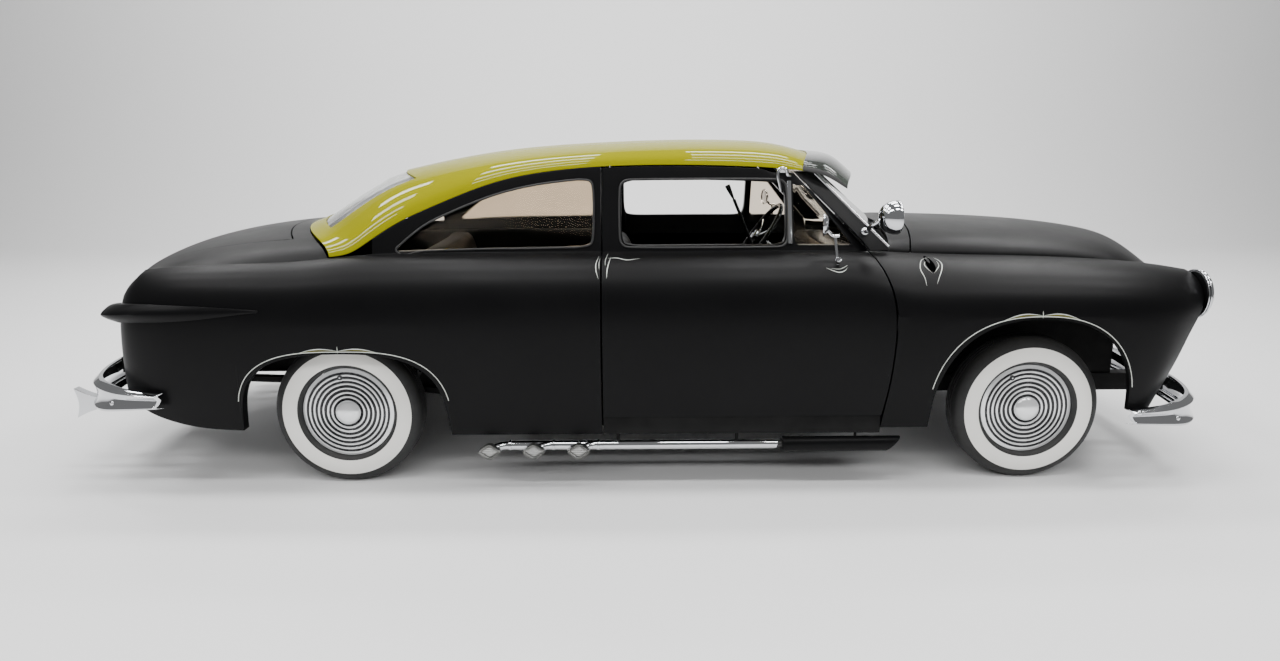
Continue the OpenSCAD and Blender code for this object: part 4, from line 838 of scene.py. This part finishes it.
STRIPE_R, LIP_GAP, LEAF_REACH = 0.0019, 0.010, 0.16
OVAL_AT, OVAL_SIZE = (1.197, 0.933), (0.017, 0.024)
ARCHES = {
    "quarter": (-1.225, 0.430 + LIP_GAP, 0.262, 0.602 + LIP_GAP, 3.0),
    "fender": (1.615, 0.418 + LIP_GAP, 0.30, 0.733 + LIP_GAP, 2.4),
}
STROKES = [
    ("quarter", 1.0, [(-0.174, 0.975), (-0.184, 0.951), (-0.183, 0.926), (-0.173, 0.897)]),
    ("quarter", 0.6, [(-0.168, 0.970), (-0.172, 0.951), (-0.171, 0.932)]),
    ("door", 0.6, [(-0.137, 0.983), (-0.146, 0.964), (-0.147, 0.945)]),
    ("door", 1.1, [(-0.125, 0.973), (-0.134, 0.949), (-0.139, 0.926), (-0.141, 0.899)]),
    ("door", 0.9, [(-0.135, 0.970), (-0.098, 0.970), (-0.058, 0.964), (-0.005, 0.969)]),
    ("door", 1.0, [(0.747, 0.935), (0.771, 0.925), (0.798, 0.918), (0.821, 0.924), (0.833, 0.935)]),
    ("door", 0.6, [(0.763, 0.933), (0.800, 0.930), (0.827, 0.939), (0.837, 0.945)]),
    ("fender", 1.0, [(1.153, 0.863), (1.152, 0.892), (1.146, 0.920), (1.168, 0.946), (1.212, 0.954)]),
    ("fender", 1.0, [(1.198, 0.870), (1.212, 0.891), (1.243, 0.928), (1.246, 0.942), (1.233, 0.953)]),
    ("fender", 0.7, [(1.190, 0.907), (1.175, 0.923), (1.172, 0.935), (1.189, 0.947)]),
    ("fender", 0.7, [(1.197, 0.907), (1.216, 0.919), (1.231, 0.931), (1.233, 0.945)]),
]


def arch_line(centre, half, foot, top, power, count=28):
    """Points along a wheel opening's lip, from front foot to rear foot."""
    line = []
    for k in range(count + 1):
        angle = math.radians(14 + 152 * k / count)
        c, s = math.cos(angle), math.sin(angle)
        line.append((centre + half * math.copysign(abs(c) ** (2 / power), c), foot + (top - foot) * s ** (2 / power)))
    return line


def painted_oval(skin, side):
    """A disc shrink-wrapped onto a panel and given the thickness of a coat of paint."""
    at = (OVAL_AT[0], side * 1.2, OVAL_AT[1])
    bpy.ops.object.select_all(action="DESELECT")
    bpy.ops.mesh.primitive_circle_add(vertices=40, radius=1, fill_type="TRIFAN", location=at,
                                      rotation=(side * math.pi / 2, 0, 0))
    disc = placed("oval")
    with editing(disc):
        bpy.ops.transform.resize(value=(OVAL_SIZE[0], 1, OVAL_SIZE[1]), center_override=at)
    wrap = disc.modifiers.new("wrap", "SHRINKWRAP")
    wrap.target, wrap.wrap_method, wrap.use_project_y = skin, "PROJECT", True
    wrap.use_negative_direction = wrap.use_positive_direction = True
    thick = disc.modifiers.new("coat", "SOLIDIFY")
    thick.thickness, thick.offset = 0.003, 0.0
    apply_modifiers(disc)
    with editing(disc):
        bpy.ops.mesh.normals_make_consistent(inside=False)
    return painted(disc, DEEP_BLACK)


def leaf_line(arch, reach, rise, count=10):
    """A long leaf that leaves the top of an arch's line and runs back into it."""
    centre, half, foot, top, power = arch
    line = []
    for k in range(count + 1):
        u = k / count
        lip = foot + (top - foot) * (1 - (abs(reach) * u / half) ** power) ** (1 / power)
        line.append((centre + reach * u, lip + rise * (0.35 * (1 - u) + math.sin(math.pi * u))))
    return line


for side, word in ((1, "left"), (-1, "right")):
    skins = {kind: bpy.data.objects[f"skin_{kind}_{word}"] for kind in ("quarter", "door", "fender")}
    lines = {kind: [] for kind in skins}

    def paint_stroke(kind, places, width, material=STRIPE, taper=True):
        """One brush stroke on a panel of this side."""
        bar = drawn_line("stroke", [on_skin(skins[kind], x, z, side) for x, z in places], STRIPE_R * width, taper)
        lines[kind].append(painted(bar, material))

    for kind, arch in ARCHES.items():
        paint_stroke(kind, arch_line(*arch), 0.9, taper=False)
        for reach in (LEAF_REACH, -LEAF_REACH):
            paint_stroke(kind, leaf_line(arch, reach, 0.010), 1.0)
            paint_stroke(kind, leaf_line(arch, reach, 0.005), 0.8, OLIVE)
        paint_stroke(kind, [(arch[0], arch[3] + rise) for rise in (-0.006, 0.004, 0.014, 0.022)], 0.7)
    for kind, width, places in STROKES:
        paint_stroke(kind, flowing(places, 3), width)
    lines["fender"].append(painted_oval(skins["fender"], side))
    for kind, bars in lines.items():
        stripe = settle(joined(f"pinstripe_{kind}_{word}", bars), None, "door_" + word if kind == "door" else "shell")
        print(stripe.name, len(stripe.data.polygons))

# %% [markdown]
# A window opening in a pressed panel has a rolled bead with round corners. The door's is a closed
# line through four corners, each rounded by a short arc. The quarter window tapers to a point, so
# its bead is found by feel: from the middle of the opening, rays step outwards until they meet the
# panel. A rubber seal behind the door's rear edge keeps light out of the shut line. A bright bar
# divides the vent pane from the door's window, and a moulding follows each side of the windscreen.

# %% Window beads, door seal, vent divider and windscreen mouldings


def round_corners(corners, radius, count=4):
    """A closed outline with its corners replaced by arcs."""
    out = []
    for before, here, after in zip(corners[-1:] + corners[:-1], corners, corners[1:] + corners[:1]):
        a, b, c = Vector(before), Vector(here), Vector(after)
        reach = min(radius, (a - b).length * 0.45, (c - b).length * 0.45)
        start, end = b + (a - b).normalized() * reach, b + (c - b).normalized() * reach
        for k in range(count + 1):
            u = k / count
            out.append(tuple(start * (1 - u) ** 2 + b * 2 * u * (1 - u) + end * u ** 2))
    return out


def felt_rim(panel, middle, side, clear=0.003, count=64):
    """Places round an opening, a little outside its edge, found by rays that step out from its middle."""
    rim = []
    for k in range(count):
        turn = math.tau * k / count
        way = Vector((2.4 * math.cos(turn), math.sin(turn))).normalized()
        at = Vector(middle)
        while not ray_to_skin(panel, at.x, at.y, side)[0]:
            at += way * 0.001
        at += way * clear
        rim.append(on_skin(panel, at.x, at.y, side))
    return rim


def door_seal(panel, side, low, high, steps):
    """Places up the inner face of a panel beside the door's rear edge."""
    line = []
    for k in range(steps + 1):
        z = low + (high - low) * k / steps
        hit, place, _, _ = panel.ray_cast(Vector((SEAL_X, 0, z)), Vector((0, side, 0)))
        if hit:
            line.append(place - Vector((0, side * SEAL_OUT, 0)))
    return line


QUARTER_MIDDLE, SEAL_X, SEAL_R, SEAL_OUT = (-0.45, 1.12), -0.172, 0.012, 0.008
DOOR_OPENING = [(-0.088, 1.006), (0.609, 1.006), (0.609, 1.279), (-0.088, 1.279)]
SCREEN_EDGE = [(0.736, 0.603, 1.300), (0.787, 0.618, 1.250), (0.888, 0.648, 1.150), (0.998, 0.680, 1.041),
               (1.039, 0.692, 1.000)]
DIVIDER_X, DIVIDER_Z = 0.6195, (1.018, 1.270)
for side, word in ((1, "left"), (-1, "right")):
    skin = bpy.data.objects["skin_door_" + word]
    rim = [on_skin(skin, x, z, side) for x, z in round_corners(DOOR_OPENING, 0.045)]
    settle(drawn_line("door_bead_" + word, rim, 0.005, closed=True), SEAL, "door_" + word)
    divider = bent_tube("vent_divider_" + word, [on_skin(skin, DIVIDER_X, z, side) for z in DIVIDER_Z], 0.011, False)
    settle(divider, CHROME, "door_" + word)
    moulding = drawn_line("screen_moulding_" + word, [(x, side * y, z) for x, y, z in SCREEN_EDGE], 0.007)
    settle(moulding, CHROME, "shell")
    quarter = bpy.data.objects["skin_quarter_" + word]
    bead = drawn_line("quarter_bead_" + word, felt_rim(quarter, QUARTER_MIDDLE, side), 0.0045, closed=True)
    settle(bead, SEAL, "shell")
    strip = bent_tube("door_seal_" + word, door_seal(quarter, side, 0.62, 1.312, 16), SEAL_R)
    settle(strip, SEAL, "shell")
    print(divider.name, moulding.name, bead.name, strip.name)

# %% [markdown]
# Small bright pieces: the domed bolts on the bumpers, and the curled hook at the top front corner
# of the right window.

# %% Bolts and hook
BOLTS = {"front_bumper": [(2.059, 0.331), (2.244, 0.296)], "rear_bumper": [(-2.180, 0.388)]}
for side, word in ((1, "left"), (-1, "right")):
    heads = []
    for node, places in BOLTS.items():
        bar = bpy.data.objects["bright_" + node]
        for x, z in places:
            at = on_skin(bar, x, z, side)
            dome = lathe("bolt", flowing([(0.0, 0.006), (0.006, 0.005), (0.010, 0.001), (0.011, -0.003), (0.0, -0.004)], 3),
                         at, (0, side, 0), 24)
            heads.append(painted(dome, CHROME))
    settle(joined("bumper_bolts_" + word, heads), None, "shell")
skin = bpy.data.objects["skin_door_right"]
root = on_skin(skin, 0.625, 1.291, -1)
CURL = [(0.0, 0.0, 0.0), (-0.013, -0.010, 0.004), (-0.016, -0.012, 0.022), (-0.032, -0.012, 0.034), (-0.050, -0.012, 0.026),
        (-0.054, -0.012, 0.008), (-0.046, -0.012, -0.030), (-0.038, -0.012, -0.062)]
hook = drawn_line("window_hook", [root + Vector(step) for step in CURL], 0.007)
settle(hook, CHROME, "door_right")
print("bolts and hook", [round(c, 3) for c in root])

# %% [markdown]
# The studio: a pale floor that turns up into a wall behind the car, and rows of ceiling panels that
# draw bright patches on the roof and bands on the shoulders. The air itself is dim, and the lights
# that wash wall and floor don't show in glossy faces, so that the black flanks and the side glass
# stay dark. The camera stands at the middle of the car's right side, a little above
# the roof, and looks slightly down.

# %% Studio floor and lights


def add_stage():
    """A pale floor swept up into a back wall through a wide curve."""
    bpy.ops.mesh.primitive_plane_add(size=1)
    floor = bpy.context.object
    floor.name = "studio_floor"
    with editing(floor, "EDGE"):
        bpy.ops.transform.resize(value=(STAGE_LENGTH, STAGE_DEPTH, 1))
        bpy.ops.mesh.select_all(action="DESELECT")
    for edge in floor.data.edges:
        edge.select = all(floor.data.vertices[v].co.y > 0 for v in edge.vertices)
    bpy.ops.object.mode_set(mode="EDIT")
    bpy.ops.mesh.extrude_edges_move(TRANSFORM_OT_translate={"value": (0, 0, STAGE_HEIGHT)})
    bpy.ops.object.mode_set(mode="OBJECT")
    sweep = floor.modifiers.new("sweep", "BEVEL")
    sweep.width = STAGE_SWEEP
    sweep.segments = 16
    apply_modifiers(floor)
    bpy.ops.object.shade_smooth()
    floor.data.materials.append(finish("Studio paper", (0.80, 0.80, 0.80), 0.5, 0.6, 1.0, 0.0, None, 0.01))


def area_light(name, at, towards, size, power, mirrored_in_gloss=True):
    """A rectangular soft light aimed at a point; it can be kept out of glossy reflections."""
    data = bpy.data.lights.new(name, "AREA")
    data.shape = "RECTANGLE"
    data.size, data.size_y = size
    data.energy = power
    lamp = bpy.data.objects.new(name, data)
    bpy.context.scene.collection.objects.link(lamp)
    lamp.location = at
    lamp.rotation_euler = (Vector(towards) - Vector(at)).to_track_quat("-Z", "Y").to_euler()
    lamp.visible_glossy = mirrored_in_gloss


STAGE_LENGTH, STAGE_DEPTH, STAGE_HEIGHT, STAGE_SWEEP = 26.0, 20.0, 8.0, 3.0
CEILING_Z, PANEL_SIZE, PANEL_POWER = 4.2, (1.5, 0.55), 52
add_stage()
for row_y in (-2.6, -0.9, 0.8, 2.5):
    for column_x in (-3.6, -1.2, 1.2, 3.6):
        area_light("ceiling", (column_x, row_y, CEILING_Z), (column_x, row_y, 0), PANEL_SIZE, PANEL_POWER)
area_light("wall_wash", (0, 3.5, 6.0), (0, 9.5, 1.5), (14.0, 1.5), 1100, False)
area_light("floor_wash", (0, -8.0, 5.0), (0, -2.5, 0), (12.0, 1.0), 480, False)
world = bpy.data.worlds.new("Studio air")
bpy.context.scene.world = world
world.use_nodes = True
world.node_tree.nodes["Background"].inputs["Color"].default_value = (1, 1, 1, 1)
world.node_tree.nodes["Background"].inputs["Strength"].default_value = 0.22

# %% Camera
CAMERA_AT = (-0.039, -4.352, 1.465)
CAMERA_YAW, CAMERA_PITCH, CAMERA_ROLL = math.radians(0.53), math.radians(12.65), math.radians(0.16)
ahead = Vector((math.sin(CAMERA_YAW), math.cos(CAMERA_YAW), 0))
level = Vector((math.cos(CAMERA_YAW), -math.sin(CAMERA_YAW), 0))
sight = ahead * math.cos(CAMERA_PITCH) - Vector((0, 0, math.sin(CAMERA_PITCH)))
drop = -Vector((0, 0, math.cos(CAMERA_PITCH))) - ahead * math.sin(CAMERA_PITCH)
right = level * math.cos(CAMERA_ROLL) + drop * math.sin(CAMERA_ROLL)
down = drop * math.cos(CAMERA_ROLL) - level * math.sin(CAMERA_ROLL)
lens = bpy.data.cameras.new("Camera")
lens.sensor_width = 36.0
lens.lens = 24.64
camera = bpy.data.objects.new("Camera", lens)
bpy.context.scene.collection.objects.link(camera)
camera.matrix_world = Matrix((
    (right.x, -down.x, -sight.x, CAMERA_AT[0]),
    (right.y, -down.y, -sight.y, CAMERA_AT[1]),
    (right.z, -down.z, -sight.z, CAMERA_AT[2]),
    (0, 0, 0, 1),
))
bpy.context.scene.camera = camera
print("camera", [round(c, 3) for c in camera.location])
